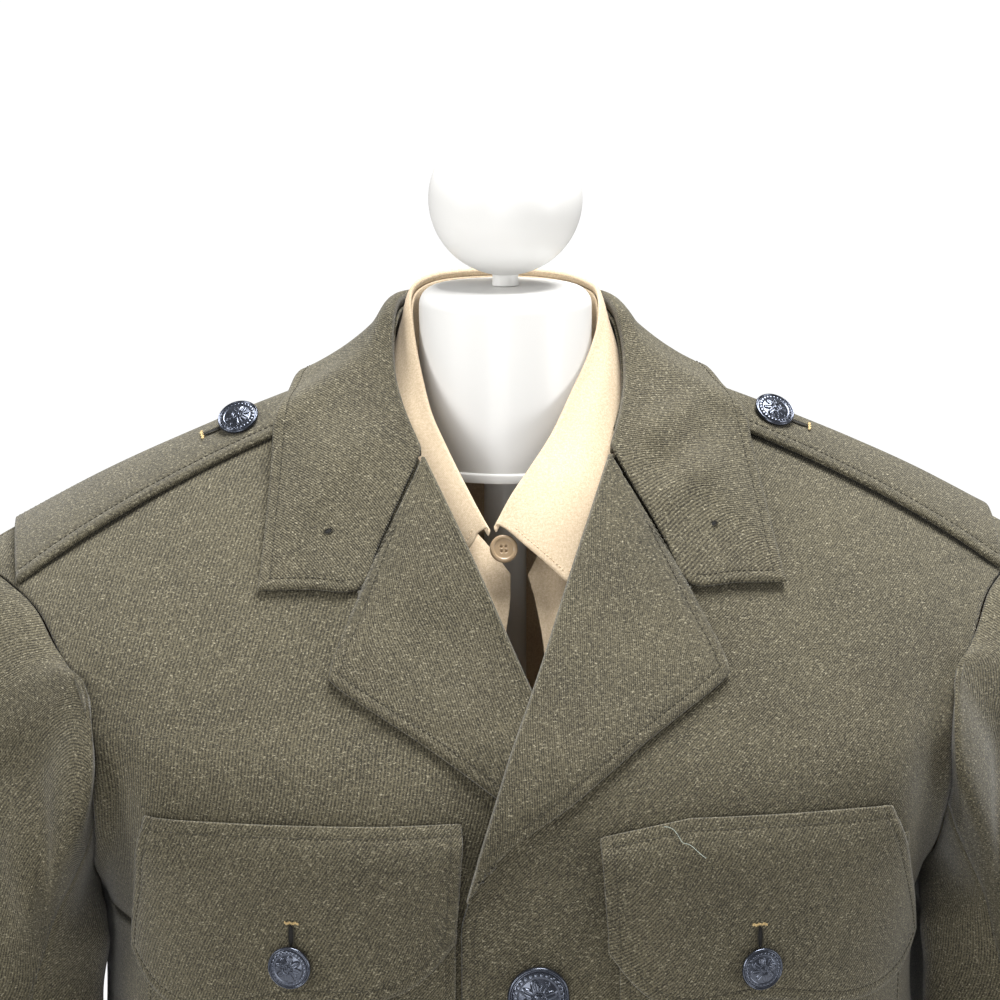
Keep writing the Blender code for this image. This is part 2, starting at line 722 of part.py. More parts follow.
# Patch pockets with a box pleat, and their scalloped flaps
POCKET_INNER, POCKET_OUTER = 0.0330, 0.1540
POCKET_TOP, POCKET_BOTTOM = 1.2060, 1.0560
POCKET_CORNER, POCKET_CORNER_SHARE = 0.012, 0.20
POCKET_ACROSS = table(
    "share height",
    (0.00, 0.0028),
    (0.16, 0.0030),
    (0.330, 0.0030),
    (0.345, 0.0046),
    (0.500, 0.0047),
    (0.655, 0.0046),
    (0.670, 0.0030),
    (0.84, 0.0030),
    (1.00, 0.0028),
)
POCKET_ROWS = (0, 0.06, 0.35, 0.70, 1)
FLAP_ACROSS = (0, 0.05, 0.16, 0.33, 0.50, 0.67, 0.84, 0.95, 1)
FLAP_TOP = {
    LEFT: table("share out height", (0, 0.0250, 1.2140), (0.33, 0.0610, 1.2205), (1, 0.1445, 1.2200)),
    RIGHT: table("share out height", (0, 0.0308, 1.2192), (0.33, 0.0700, 1.2196), (1, 0.1548, 1.2200)),
}
FLAP_BOTTOM = {
    LEFT: table(
        "share out height",
        (0, 0.0282, 1.1680),
        (0.05, 0.0345, 1.1590),
        (0.50, 0.0897, 1.1455),
        (0.95, 0.1530, 1.1515),
        (1, 0.1585, 1.1600),
    ),
    RIGHT: table(
        "share out height",
        (0, 0.0340, 1.1720),
        (0.05, 0.0400, 1.1645),
        (0.50, 0.0957, 1.1485),
        (0.95, 0.1525, 1.1510),
        (1, 0.1580, 1.1600),
    ),
}
FLAP_ROWS = table("share height", (0, 0.0034), (0.14, 0.0070), (0.45, 0.0074), (1, 0.0072))
POCKET_WALL = 0.0015


def pocket_points(hand):
    share = POCKET_ACROSS["share"]
    u = POCKET_INNER + (POCKET_OUTER - POCKET_INNER) * share
    corner = np.clip(np.abs(share - 0.5) * 2 - (1 - POCKET_CORNER_SHARE), 0, 1) / POCKET_CORNER_SHARE
    rows = []
    for down in POCKET_ROWS:
        foot = POCKET_BOTTOM + POCKET_CORNER * (1 - np.sqrt(1 - np.minimum(corner, 1) ** 2 * 0.98))
        z = POCKET_TOP + (foot - POCKET_TOP) * down
        rows.append(front_surface(u, z, hand, POCKET_ACROSS["height"]))
    return np.array(rows[::-1])


def flap_points(hand):
    share = np.array(FLAP_ACROSS)
    top, bottom = FLAP_TOP[hand], FLAP_BOTTOM[hand]
    rows = []
    for down, height in zip(*FLAP_ROWS.values()):
        edges = []
        for key in ("out", "height"):
            high = np.interp(share, top["share"], top[key])
            low = read(bottom, key, share, "share")
            edges.append(high + (low - high) * down)
        rows.append(front_surface(edges[0], edges[1], hand, np.full(len(share), height)))
    return np.array(rows[::-1])


def build_pockets(cloth):
    for hand in (LEFT, RIGHT):
        name, back_to_front = HAND_NAMES[hand], hand == RIGHT
        pocket = mirror(pocket_points(hand), hand)
        add_wall(f"pocket_{name}", pocket, cloth, POCKET_WALL, mirrored=back_to_front)
        flap = mirror(flap_points(hand), hand)
        add_wall(f"pocket_flap_{name}", flap, cloth, POCKET_WALL, mirrored=back_to_front)


# Buttons: a domed face with a rim, on a short shank
BUTTON_PROFILE = table(
    "radius height",
    (0.00, 0.0060),
    (0.80, 0.0048),
    (1.00, 0.0040),
    (1.00, 0.0030),
    (0.26, 0.0028),
    (0.26, 0.0004),
    (0.00, 0.0004),
)
FRONT_BUTTON_RADIUS, SMALL_BUTTON_RADIUS = 0.0125, 0.0088
FRONT_BUTTON_HEIGHTS = (1.150, 1.040, 0.930, 0.820)
POCKET_BUTTONS = {LEFT: (0.0878, 1.1595), RIGHT: (0.0963, 1.1640)}


def add_button(name, at, normal, radius, material):
    size = radius / FRONT_BUTTON_RADIUS
    profile = [(r * radius, 0.0004 + (h - 0.0004) * size) for r, h in zip(*BUTTON_PROFILE.values())]
    button = add_turned(name, profile, material, 16)
    button.location = Vector(at)
    button.rotation_euler = Vector(normal).to_track_quat("Z", "X").to_euler()


def normal_at(points, centre):
    """The outward direction of three points about a place."""
    normal = np.cross(points[0] - centre, points[1] - centre)
    return normal / np.linalg.norm(normal)


def build_buttons(material):
    step = 0.004
    for number, z in enumerate(FRONT_BUTTON_HEIGHTS, start=1):
        centre = front_surface(0.0, z, LEFT)
        normal = normal_at([front_surface(step, z, LEFT), front_surface(0, z + step, LEFT)], centre)
        add_button(f"front_button_{number}", centre, normal, FRONT_BUTTON_RADIUS, material)
    for hand, (out, z) in POCKET_BUTTONS.items():
        off = FLAP_ROWS["height"][2] + 0.0001
        centre = front_surface(out, z, hand, off)
        beside = [front_surface(out + step, z, hand, off), front_surface(out, z + step, hand, off)]
        normal = mirror(normal_at(beside, centre), hand)
        name = f"pocket_button_{HAND_NAMES[hand]}"
        add_button(name, mirror(centre, hand), normal, SMALL_BUTTON_RADIUS, material)
    shifts = np.array((step, 0.0, -step))
    arcs = shifts - STRAP_BUTTON_FORWARD
    grid = np.array([COAT.over_shoulder(STRAP_BUTTON_OUT - shift, arcs) for shift in shifts])
    normal = grid_normals(grid)[1, 1]
    centre = grid[1, 1] + normal * (STRAP_OFF + STRAP_BUTTON_LIFT)
    axis = normal + np.array([0.0, -STRAP_BUTTON_TILT, 0.0])
    axis /= np.linalg.norm(axis)
    for hand in (LEFT, RIGHT):
        name = f"strap_button_{HAND_NAMES[hand]}"
        add_button(name, mirror(centre, hand), mirror(axis, hand), SMALL_BUTTON_RADIUS, material)


# Shirt body and short sleeves, inside the coat
SHIRT_BODY_HEIGHTS = (SHIRT_HEM, 0.86, 1.00, 1.10)
SHIRT_SHOULDER_HEIGHTS = (1.3210, 1.3350, 1.3490, 1.3620)
SHIRT_FRONT_SHARES = (0, 0.16, 0.34, 0.52, 0.70, 0.87, 0.98, 1)
SHIRT_BACK_SHARES = (0, 0.24, 0.47, 0.69, 0.87, 0.98, 1)
SHIRT_LAP = 0.012
SHIRT_NECK = table(
    "height left_out right_out",
    (1.3050, -0.0010, 0.0235),
    (1.3180, 0.0100, 0.0300),
    (1.3330, 0.0240, 0.0360),
    (1.3480, 0.0370, 0.0430),
    (1.3620, 0.0470, 0.0490),
    (1.3740, 0.0560, 0.0560),
)
SHIRT_OPEN = 1.3000


def shirt_inner_edge(z, hand):
    """The shirt's front edge below the neck and its neck seam above."""
    if z <= SHIRT_OPEN:
        return -SHIRT_LAP
    column = "left_out" if hand == LEFT else "right_out"
    return float(read(SHIRT_NECK, column, z))


def shirt_front_points(hand):
    rows = []
    for z, out in panel_places(SHIRT_GARMENT, FRONT, SHIRT_BODY_HEIGHTS, SHIRT_SHOULDER_HEIGHTS):
        rows.append(SHIRT.section(z, shirt_inner_edge(z, hand), out, FRONT, SHIRT_FRONT_SHARES))
    points = np.array(rows)
    lap = 0.0022 * (1 - smooth((points[..., 0] - 0.010) / 0.030))
    points[..., 1] += lap if hand == RIGHT else 0.0
    return open_side_seam(points, SHIRT_BODY_HEIGHTS, FRONT)


def shirt_back_points():
    """The back in one piece, from side to side; its columns run from right to left."""
    left = []
    for z, out in panel_places(SHIRT_GARMENT, BACK, SHIRT_BODY_HEIGHTS, SHIRT_SHOULDER_HEIGHTS):
        left.append(SHIRT.section(z, 0.0, out, BACK, SHIRT_BACK_SHARES))
    left = open_side_seam(np.array(left), SHIRT_BODY_HEIGHTS, BACK)
    return np.concatenate([mirror(left[:, :0:-1], -1), left], 1)


def build_shirt_body(cloth):
    for hand in (LEFT, RIGHT):
        name = HAND_NAMES[hand]
        front = mirror(shirt_front_points(hand), hand)
        add_wall(f"shirt_front_{name}", front, cloth, SHIRT_WALL, mirrored=hand == RIGHT)
        sleeve = mirror(sleeve_rings(SHIRT_GARMENT, SHIRT_CAP, SHIRT_ARM), hand)
        add_wall(f"shirt_sleeve_{name}", sleeve, cloth, SHIRT_WALL, hand == RIGHT, closed=True)
    add_wall("shirt_back", shirt_back_points(), cloth, SHIRT_WALL, mirrored=True)


# Shirt collar: stations run from its right front end round the back to its left front end
SHIRT_COLLAR = table(
    "station fold_x fold_y fold_z edge_x edge_y edge_z bulge",
    (0, -0.0137, -0.0740, 1.3270, -0.0270, -0.0740, 1.3100, 0.001),
    (1, -0.0190, -0.0660, 1.3365, -0.0380, -0.0625, 1.3230, 0.001),
    (2, -0.0280, -0.0490, 1.3545, -0.0450, -0.0485, 1.3400, 0.001),
    (3, -0.0350, -0.0320, 1.3710, -0.0500, -0.0305, 1.3590, 0.002),
    (4, -0.0385, -0.0130, 1.3910, -0.0500, -0.0080, 1.3760, 0.000),
    (5, -0.0400, 0.0050, 1.4090, -0.0490, 0.0080, 1.3840, 0.000),
    (6, -0.0345, 0.0260, 1.4170, -0.0400, 0.0295, 1.3840, 0.000),
    (7, -0.0200, 0.0390, 1.4190, -0.0230, 0.0430, 1.3840, 0.000),
    (8, 0.0000, 0.0430, 1.4195, 0.0000, 0.0475, 1.3840, 0.000),
    (9, 0.0200, 0.0390, 1.4190, 0.0230, 0.0430, 1.3840, 0.000),
    (10, 0.0345, 0.0260, 1.4170, 0.0400, 0.0295, 1.3840, 0.000),
    (11, 0.0400, 0.0050, 1.4130, 0.0490, 0.0080, 1.3840, 0.000),
    (12, 0.0375, -0.0110, 1.3980, 0.0500, -0.0090, 1.3770, 0.002),
    (13, 0.0272, -0.0280, 1.3795, 0.0470, -0.0310, 1.3600, 0.002),
    (14, 0.0127, -0.0500, 1.3575, 0.0420, -0.0560, 1.3370, 0.003),
    (15, -0.0003, -0.0650, 1.3435, 0.0320, -0.0715, 1.3215, 0.003),
    (16, -0.0103, -0.0745, 1.3285, 0.0183, -0.0860, 1.3060, 0.0015),
)
SHIRT_FOLD = table("out up", (-0.0004, -0.0034), (-0.0010, -0.0012), (0.0002, 0.0000), (0.0026, -0.0008))
SHIRT_BAND_FOOT = table(
    "station x y z",
    (0, -0.0190, -0.0700, 1.3155),
    (1, -0.0250, -0.0620, 1.3215),
    (2, -0.0345, -0.0440, 1.3380),
    (3, -0.0415, -0.0270, 1.3550),
    (4, -0.0440, -0.0090, 1.3700),
    (5, -0.0440, 0.0075, 1.3800),
    (6, -0.0370, 0.0275, 1.3830),
    (7, -0.0215, 0.0400, 1.3840),
    (8, 0.0000, 0.0445, 1.3840),
    (9, 0.0215, 0.0400, 1.3840),
    (10, 0.0370, 0.0275, 1.3830),
    (11, 0.0440, 0.0075, 1.3800),
    (12, 0.0440, -0.0090, 1.3700),
    (13, 0.0380, -0.0250, 1.3560),
    (14, 0.0250, -0.0450, 1.3390),
    (15, 0.0090, -0.0620, 1.3235),
    (16, -0.0070, -0.0710, 1.3150),
)


def shirt_collar_frame(station):
    def at(where, name="fold"):
        where = np.clip(where, 0, 16)
        return np.array([float(read(SHIRT_COLLAR, f"{name}_{axis}", where, "station")) for axis in "xyz"])
    along = at(station + 0.25) - at(station - 0.25)
    along /= np.linalg.norm(along)
    edge = at(station, "edge")
    out = edge - at(station)
    out -= along * (out @ along)
    up = np.cross(along, out)
    up /= np.linalg.norm(up)
    flat = np.array([out[0], out[1], 0.0])
    flat /= np.linalg.norm(flat)
    return at(station), edge, flat, up


def build_shirt_collar(cloth):
    fall, band = [], []
    stations = np.linspace(0, 16, 23)
    for station in stations:
        fold, edge, out, up = shirt_collar_frame(station)
        high = np.array([0.0, 0.0, 1.0])
        row = [fold + out * step + high * rise for step, rise in zip(SHIRT_FOLD["out"], SHIRT_FOLD["up"])]
        bulge = float(read(SHIRT_COLLAR, "bulge", station, "station"))
        start = row[-1]
        for share in (0.33, 0.67, 1.0):
            row.append(start + (edge - start) * share + up * bulge * 4 * share * (1 - share))
        fall.append(row)
        foot = np.array([float(read(SHIRT_BAND_FOOT, axis, station, "station")) for axis in "xyz"])
        top = row[0] - high * SEAM
        band.append([foot, (foot + top) / 2, top])
    add_wall("shirt_collar", np.array(fall), cloth, SHIRT_WALL, mirrored=True)
    add_wall("shirt_band", np.array(band)[1:-1], cloth, SHIRT_WALL)


# Display stand
FORM_STATIONS = (0.0418, 0.047, 0.054, 0.063, 0.085, 0.110, 0.140, 0.165, 0.190)
FORM_DROP, FORM_THICKNESS = 0.0034, 0.016
FORM_NECK_DROP, FORM_NECK_OUT, FORM_NECK_FADE = 0.012, 0.045, 0.015


def build_stand(white):
    edge = 0.003
    base = [
        (0.0, BASE_HEIGHT),
        (BASE_RADIUS - 2 * edge, BASE_HEIGHT - 0.002),
        (BASE_RADIUS - 0.001, BASE_HEIGHT - 0.002 - edge),
        (BASE_RADIUS, BASE_HEIGHT - 0.004 - edge),
        (BASE_RADIUS, 0.001),
        (BASE_RADIUS - 0.001, 0.0),
        (0.0, 0.0),
    ]
    add_turned("stand_base", base, white, 40)
    post_top, post_foot = NECK_FOOT - REST_GAP, BASE_HEIGHT + REST_GAP
    post = [(0.0, post_top), (POST_RADIUS, post_top), (POST_RADIUS, post_foot), (0.0, post_foot)]
    add_turned("stand_post", post, white, 20)
    block = [(0.0, NECK_TOP)]
    for turn in np.linspace(0, math.pi / 2, 4):
        round_off = 0.008
        radius = NECK_RADIUS - round_off * (1 - math.sin(turn))
        block.append((radius, NECK_TOP - round_off * (1 - math.cos(turn))))
    block += [(NECK_RADIUS, NECK_FOOT + 0.004), (NECK_RADIUS + 0.001, NECK_FOOT + 0.003)]
    block += [(NECK_RADIUS + 0.001, NECK_FOOT), (0.0, NECK_FOOT)]
    add_turned("neck_block", block, white, 24)
    ball = [(0.0, BALL_CENTRE + BALL_RADIUS)]
    stem_sine = STEM_RADIUS / BALL_RADIUS
    for turn in np.linspace(0, math.pi - math.asin(stem_sine), 9)[1:]:
        ball.append((BALL_RADIUS * math.sin(turn), BALL_CENTRE + BALL_RADIUS * math.cos(turn)))
    ball += [(STEM_RADIUS, NECK_TOP + REST_GAP), (0.0, NECK_TOP + REST_GAP)]
    add_turned("ball_finial", ball, white, 22)
    arcs = np.linspace(0.026, -0.026, 7)
    grid = np.array([SHIRT.over_shoulder(out, arcs) for out in FORM_STATIONS])
    near_neck = 1 - smooth((grid[..., 0] - FORM_NECK_OUT) / FORM_NECK_FADE)
    grid[..., 2] -= FORM_DROP + FORM_NECK_DROP * near_neck
    for hand in (LEFT, RIGHT):
        name = f"shoulder_form_{HAND_NAMES[hand]}"
        add_wall(name, mirror(grid, hand), white, FORM_THICKNESS, mirrored=hand == RIGHT)


def clear_scene():
    for item in list(bpy.data.objects):
        bpy.data.objects.remove(item, do_unlink=True)


def main():
    clear_scene()
    collection = bpy.data.collections.new(COLLECTION)
    bpy.context.scene.collection.children.link(collection)
    wool = make_material("coat_wool", (0.105, 0.090, 0.058), 0.90)
    poplin = make_material("shirt_poplin", (0.62, 0.47, 0.31), 0.80)
    gunmetal = make_material("button_gunmetal", (0.030, 0.036, 0.050), 0.35, 0.6)
    white = make_material("stand_white", (0.85, 0.85, 0.84), 0.35)
    build_coat_body(wool)
    build_coat_sleeves(wool)
    build_lapels(wool)
    build_collar(wool)
    build_straps(wool)
    build_pockets(wool)
    build_buttons(gunmetal)
    build_shirt_body(poplin)
    build_shirt_collar(poplin)
    build_stand(white)


main()
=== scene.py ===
"""Looks of the service coat and its shirt on a display stand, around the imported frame.

The file follows the garment as it is put together: viewpoint, coat body, sleeves,
lapels, collar, straps, pockets, buttons, then the shirt and the stand.
"""
import math

import bpy
import numpy as np
from mathutils import Matrix, Vector


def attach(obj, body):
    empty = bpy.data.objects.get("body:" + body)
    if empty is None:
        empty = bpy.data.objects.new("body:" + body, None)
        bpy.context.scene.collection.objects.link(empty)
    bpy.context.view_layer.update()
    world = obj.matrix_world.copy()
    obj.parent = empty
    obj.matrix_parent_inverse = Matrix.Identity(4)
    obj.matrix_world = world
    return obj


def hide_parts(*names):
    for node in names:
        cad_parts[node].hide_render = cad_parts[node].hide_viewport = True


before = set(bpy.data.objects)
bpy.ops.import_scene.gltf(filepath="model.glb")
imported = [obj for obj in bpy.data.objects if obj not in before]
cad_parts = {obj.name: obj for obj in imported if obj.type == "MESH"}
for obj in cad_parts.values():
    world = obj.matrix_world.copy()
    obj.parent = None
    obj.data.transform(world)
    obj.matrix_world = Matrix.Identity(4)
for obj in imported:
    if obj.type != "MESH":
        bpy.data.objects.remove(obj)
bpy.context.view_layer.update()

# Viewpoint and studio
# The photograph is a close view from a little above and to the wearer's right. The studio
# is white all round, with broad soft lights above, in front and at both sides.
AZIMUTH, ELEVATION = math.radians(-5.0), math.radians(10.0)
CAMERA_AT = (-0.1666, -1.8783, 1.6576)
LENS_MM, SENSOR_MM, NEAR_CLIP = 162.0, 36.0, 0.05
LIGHTS_AIM = (0, 0, 1.25)
LIT_STRENGTH, SHOWN_STRENGTH = 0.35, 1.05
FLOOR_RADIUS, FLOOR_SIDES, FLOOR_DROP = 3.0, 96, 0.0005


def place_camera():
    """The view looks back along azimuth and elevation, with its top upright."""
    back = np.array([
        math.sin(AZIMUTH) * math.cos(ELEVATION),
        -math.cos(AZIMUTH) * math.cos(ELEVATION),
        math.sin(ELEVATION),
    ])
    right = np.cross([0, 0, 1], back)
    right /= np.linalg.norm(right)
    up = np.cross(back, right)
    turn = Matrix([right, up, back]).transposed().to_4x4()
    data = bpy.data.cameras.new("photo_view")
    data.lens, data.sensor_width, data.clip_start = LENS_MM, SENSOR_MM, NEAR_CLIP
    camera = bpy.data.objects.new("photo_view", data)
    camera.matrix_world = Matrix.Translation(CAMERA_AT) @ turn
    bpy.context.scene.collection.objects.link(camera)
    bpy.context.scene.camera = camera


def add_light(name, at, size, power):
    """A round soft light of a size in metres and a power in watts, turned to the chest."""
    data = bpy.data.lights.new(name, "AREA")
    data.shape, data.size, data.energy = "DISK", size, power
    lamp = bpy.data.objects.new(name, data)
    lamp.location = at
    lamp.rotation_euler = (Vector(at) - Vector(LIGHTS_AIM)).to_track_quat("Z", "Y").to_euler()
    bpy.context.scene.collection.objects.link(lamp)


def white_studio():
    """A world that is white to the camera and gives the object softer light."""
    world = bpy.data.worlds.new("studio")
    bpy.context.scene.world = world
    world.use_nodes = True
    nodes, links = world.node_tree.nodes, world.node_tree.links
    nodes.clear()
    path = nodes.new("ShaderNodeLightPath")
    mix = nodes.new("ShaderNodeMixShader")
    links.new(path.outputs["Is Camera Ray"], mix.inputs["Fac"])
    for socket, strength in ((1, LIT_STRENGTH), (2, SHOWN_STRENGTH)):
        background = nodes.new("ShaderNodeBackground")
        background.inputs["Color"].default_value = (1, 1, 1, 1)
        background.inputs["Strength"].default_value = strength
        links.new(background.outputs[0], mix.inputs[socket])
    out = nodes.new("ShaderNodeOutputWorld")
    links.new(mix.outputs[0], out.inputs["Surface"])


def add_floor():
    """A round sheet of pale paper, just under the stand's base."""
    angle = np.linspace(0, 2 * math.pi, FLOOR_SIDES, endpoint=False)
    ring = np.stack([np.cos(angle), np.sin(angle), np.zeros(FLOOR_SIDES)], -1) * FLOOR_RADIUS
    mesh = bpy.data.meshes.new("studio_floor")
    mesh.from_pydata((ring - (0, 0, FLOOR_DROP)).tolist(), [], [list(range(FLOOR_SIDES))])
    paint = bpy.data.materials.new("floor_paper")
    paint.use_nodes = True
    shader = paint.node_tree.nodes["Principled BSDF"]
    shader.inputs["Base Color"].default_value = (0.86, 0.86, 0.86, 1)
    shader.inputs["Roughness"].default_value = 0.9
    mesh.materials.append(paint)
    floor = bpy.data.objects.new("studio_floor", mesh)
    bpy.context.scene.collection.objects.link(floor)


place_camera()
bpy.context.scene.view_settings.view_transform = "Standard"
white_studio()
add_light("top_softbox", (0.3, 0.10, 3.2), 1.2, 112)
add_light("front_softbox", (-0.8, -3.2, 0.9), 1.6, 36)
add_light("left_softbox", (-2.6, -1.1, 2.1), 1.4, 50)
add_light("right_softbox", (2.7, -1.3, 1.4), 1.4, 32)
add_floor()

# Coat body
# Two fronts and two backs of wool twill, sewn at the sides, the centre back and over
# the shoulders. Each is a thin wall on the same form as its solid, with a turned edge.
LEFT, RIGHT = 1, -1
FRONT, BACK = -1, 1
HAND_NAMES = {LEFT: "left", RIGHT: "right"}
HEM, ARMPIT, BREAK, ROLL_TOP = 0.655, 1.165, 1.190, 1.351
SHOULDER_TIP, FRONT_OVERLAP, RISE = 0.228, 0.030, 1.225
SEAM, RIDGE_SEAM, ARMHOLE_SEAM = 0.0004, 0.0012, 0.0017
COAT_WALL = 0.0020
MM = 0.001


def table(columns, *rows):
    """Rows of numbers as columns, by their names."""
    values = np.array(rows, float)
    return {name: values[:, index] for index, name in enumerate(columns.split())}


def curve_through(knots, values, at):
    """Hermite curve through values at the knots, flat beyond the ends."""
    knots, values = np.asarray(knots, float), np.asarray(values, float)
    slopes = np.gradient(values, knots, axis=0)
    at = np.clip(np.asarray(at, float), knots[0], knots[-1])
    cell = np.clip(np.searchsorted(knots, at) - 1, 0, len(knots) - 2)
    step = knots[cell + 1] - knots[cell]
    t = (at - knots[cell]) / step
    if values.ndim > 1:
        step, t = (part.reshape(part.shape + (1,) * (values.ndim - 1)) for part in (step, t))
    near = (1 + 2 * t) * (1 - t) ** 2 * values[cell] + t * (1 - t) ** 2 * step * slopes[cell]
    far = t * t * (3 - 2 * t) * values[cell + 1] + t * t * (t - 1) * step * slopes[cell + 1]
    return near + far


def read(rows, column, at, along="height"):
    """A table's column on a smooth curve, read at places in another column."""
    return curve_through(rows[along], rows[column], at)


def smooth(value):
    """An even step from 0 to 1: three times the square, less twice the cube."""
    value = np.clip(value, 0.0, 1.0)
    return value * value * (3 - 2 * value)


def added_up(gaps):
    """Distances from the start of a line, from the gaps along it."""
    return np.concatenate([[0], np.cumsum(gaps)])


COAT_BODY = table(
    "height half_width front_depth back_depth squareness",
    (0.655, 0.196, 0.128, 0.120, 2.6),
    (0.820, 0.186, 0.130, 0.118, 2.6),
    (0.980, 0.172, 0.132, 0.104, 2.7),
    (1.100, 0.172, 0.143, 0.118, 2.8),
    (1.170, 0.176, 0.147, 0.126, 2.9),
    (1.220, 0.196, 0.145, 0.126, 3.0),
    (1.280, 0.236, 0.136, 0.118, 3.0),
    (1.330, 0.268, 0.128, 0.110, 3.0),
    (1.420, 0.300, 0.120, 0.100, 3.0),
)
SHOULDER_LINE = table(
    "out height",
    (0.000, 1.3975),
    (0.062, 1.3795),
    (0.083, 1.3715),
    (0.151, 1.3450),
    (0.214, 1.3130),
    (0.240, 1.2985),
)
SHOULDER_FALL = {FRONT: (1.25, 0.68), BACK: (2.2, 0.60)}


class BodyForm:
    """Flattened ellipses, stacked by height, that close to the shoulder line."""

    def __init__(self, rows, drop):
        self.rows = rows
        self.outs = np.linspace(0.0, 0.240, 241)
        self.crests = read(SHOULDER_LINE, "height", self.outs, "out") - drop

    def crest(self, x):
        return np.interp(np.abs(x), self.outs, self.crests)

    def half_width(self, z):
        return read(self.rows, "half_width", z)

    def depth(self, x, z, face):
        """Ellipse of the table's depth, times a fall from the chest to the shoulder line."""
        column = "front_depth" if face == FRONT else "back_depth"
        power, fall = SHOULDER_FALL[face]
        square = read(self.rows, "squareness", z)
        across = np.clip(1 - (np.abs(x) / self.half_width(z)) ** square, 0, 1) ** (1 / square)
        rise = np.clip((z - RISE) / (self.crest(x) - RISE), 0, 1)
        return face * read(self.rows, column, z) * across * (1 - rise ** power) ** fall

    def out_at(self, reach, z, face):
        """How far out the section at z comes to a given reach in depth."""
        x = np.linspace(0.04, self.half_width(z), 4000)
        return float(np.interp(-reach, -np.abs(self.depth(x, z, face)), x))

    def section(self, z, x_from, x_to, face, shares):
        """Points of the level section at z, at shares of its length between two widths."""
        x = x_from + (x_to - x_from) * np.sin(np.linspace(0, math.pi / 2, 500))
        y = self.depth(x, z, face)
        length = added_up(np.hypot(np.diff(x), np.diff(y)))
        at = np.asarray(shares) * length[-1]
        return np.stack([np.interp(at, length, x), np.interp(at, length, y), np.full(len(at), z)], -1)

    def over_shoulder(self, x, arcs):
        """Points at lengths over the shoulder line, forward of it below 0 and behind it above."""
        drop = np.linspace(0, 1, 160) ** 2 * 0.09
        z = self.crest(x) - drop
        halves = {}
        for face in (FRONT, BACK):
            y = self.depth(x, z, face)
            length = added_up(np.hypot(np.diff(y), np.diff(z)))
            halves[face] = (length, y)
        points = []
        for arc in arcs:
            length, y = halves[FRONT if arc < 0 else BACK]
            points.append((x, np.interp(abs(arc), length, y), np.interp(abs(arc), length, z)))
        return points


COAT = BodyForm(COAT_BODY, 0.0)
ROLL_LINE = table(
    "height out",
    (BREAK, -0.0295),
    (1.2335, -0.0148),
    (1.2690, 0.0008),
    (1.3080, 0.0175),
    (1.3350, 0.0300),
    (ROLL_TOP, 0.0375),
)
NECK_EDGE = table(
    "height front_out back_out",
    (1.3510, 0.0395, 0.0004),
    (1.3635, 0.0495, 0.0004),
    (1.3665, 0.0518, 0.0350),
    (1.3710, 0.0555, 0.0470),
    (1.3755, 0.0592, 0.0550),
    (1.3795, 0.0620, 0.0620),
)
ARMHOLE = table(
    "height front_reach back_reach",
    (ARMPIT, 0.000, 0.000),
    (1.170, 0.027, 0.026),
    (1.178, 0.045, 0.043),
    (1.190, 0.064, 0.060),
    (1.203, 0.081, 0.073),
    (1.220, 0.093, 0.082),
    (1.239, 0.099, 0.085),
    (1.256, 0.092, 0.081),
    (1.2685, 0.0815, 0.074),
    (1.281, 0.068, 0.063),
    (1.292, 0.053, 0.050),
    (1.3005, 0.033, 0.034),
)
BACK_NECK, ROLL_CLEAR = 1.3640, 0.0030
BODY_HEIGHTS = (HEM, 0.74, 0.84, 0.94, 1.03, 1.10, 1.14)
SHOULDER_HEIGHTS = (1.318, 1.331, 1.343, 1.351, 1.3635, 1.3665, 1.3710, 1.3755)


def tip_height(form, tip):
    """Height of the shoulder line where a sleeve's seam crosses it."""
    return float(form.crest(tip))


def armhole_line(garment, face):
    """The armhole's points on one face, from the armpit up to the shoulder tip."""
    column = "front_reach" if face == FRONT else "back_reach"
    form, tip = garment["form"], garment["tip"]
    stretch = (tip_height(form, tip) - garment["armpit"]) / (tip_height(COAT, SHOULDER_TIP) - ARMPIT)
    points = []
    for height, reach in zip(ARMHOLE["height"][::garment["every"]], ARMHOLE[column][::garment["every"]]):
        z = garment["armpit"] + (height - ARMPIT) * stretch
        out = form.out_at(reach * garment["reach"], z, face)
        points.append((out, float(form.depth(out, z, face)), z))
    points.append((tip, 0.0, tip_height(form, tip)))
    return np.array(points)


COAT_GARMENT = dict(form=COAT, tip=SHOULDER_TIP, armpit=ARMPIT, reach=1.0, every=1)


def inner_edge(z, face):
    """Where a coat panel starts at height z: front edge, roll line or neck seam."""
    if face == BACK:
        return read(NECK_EDGE, "back_out", z) if z > BACK_NECK else SEAM
    if z < BREAK:
        return -FRONT_OVERLAP
    if z <= ROLL_TOP:
        return read(ROLL_LINE, "out", z) + ROLL_CLEAR
    return read(NECK_EDGE, "front_out", z)


def front_sink(u, z, hand):
    """How far the right front lies in, under the left one that closes over it.

    It is 3.4 mm, and 8.2 mm above the top button, in smooth steps across and up the front.
    """
    if hand == LEFT:
        return np.zeros(np.broadcast(u, z).shape)
    near = 1 - smooth((np.asarray(u) - 0.010) / 0.060)
    below = 1 - smooth((np.asarray(z) - 1.275) / 0.045)
    deep = 0.0034 + 0.0048 * smooth((np.asarray(z) - 1.140) / 0.045)
    return near * below * deep


def panel_places(garment, face, low, high):
    """Each row's height and outer end: up the side seam, armhole and shoulder seam."""
    form = garment["form"]
    places = [(z, float(form.half_width(z))) for z in low]
    places += [(z, out) for out, _, z in armhole_line(garment, face)[:-1]]
    heights = (tip_height(form, garment["tip"]), *high)
    return places + [(z, form.out_at(RIDGE_SEAM, z, face)) for z in heights]


def open_side_seam(points, low, face):
    """Half the seam's gap at the outer ends of the rows up to the armpit."""
    points[:len(low) + 1, -1, 1] += face * SEAM / 2
    return points


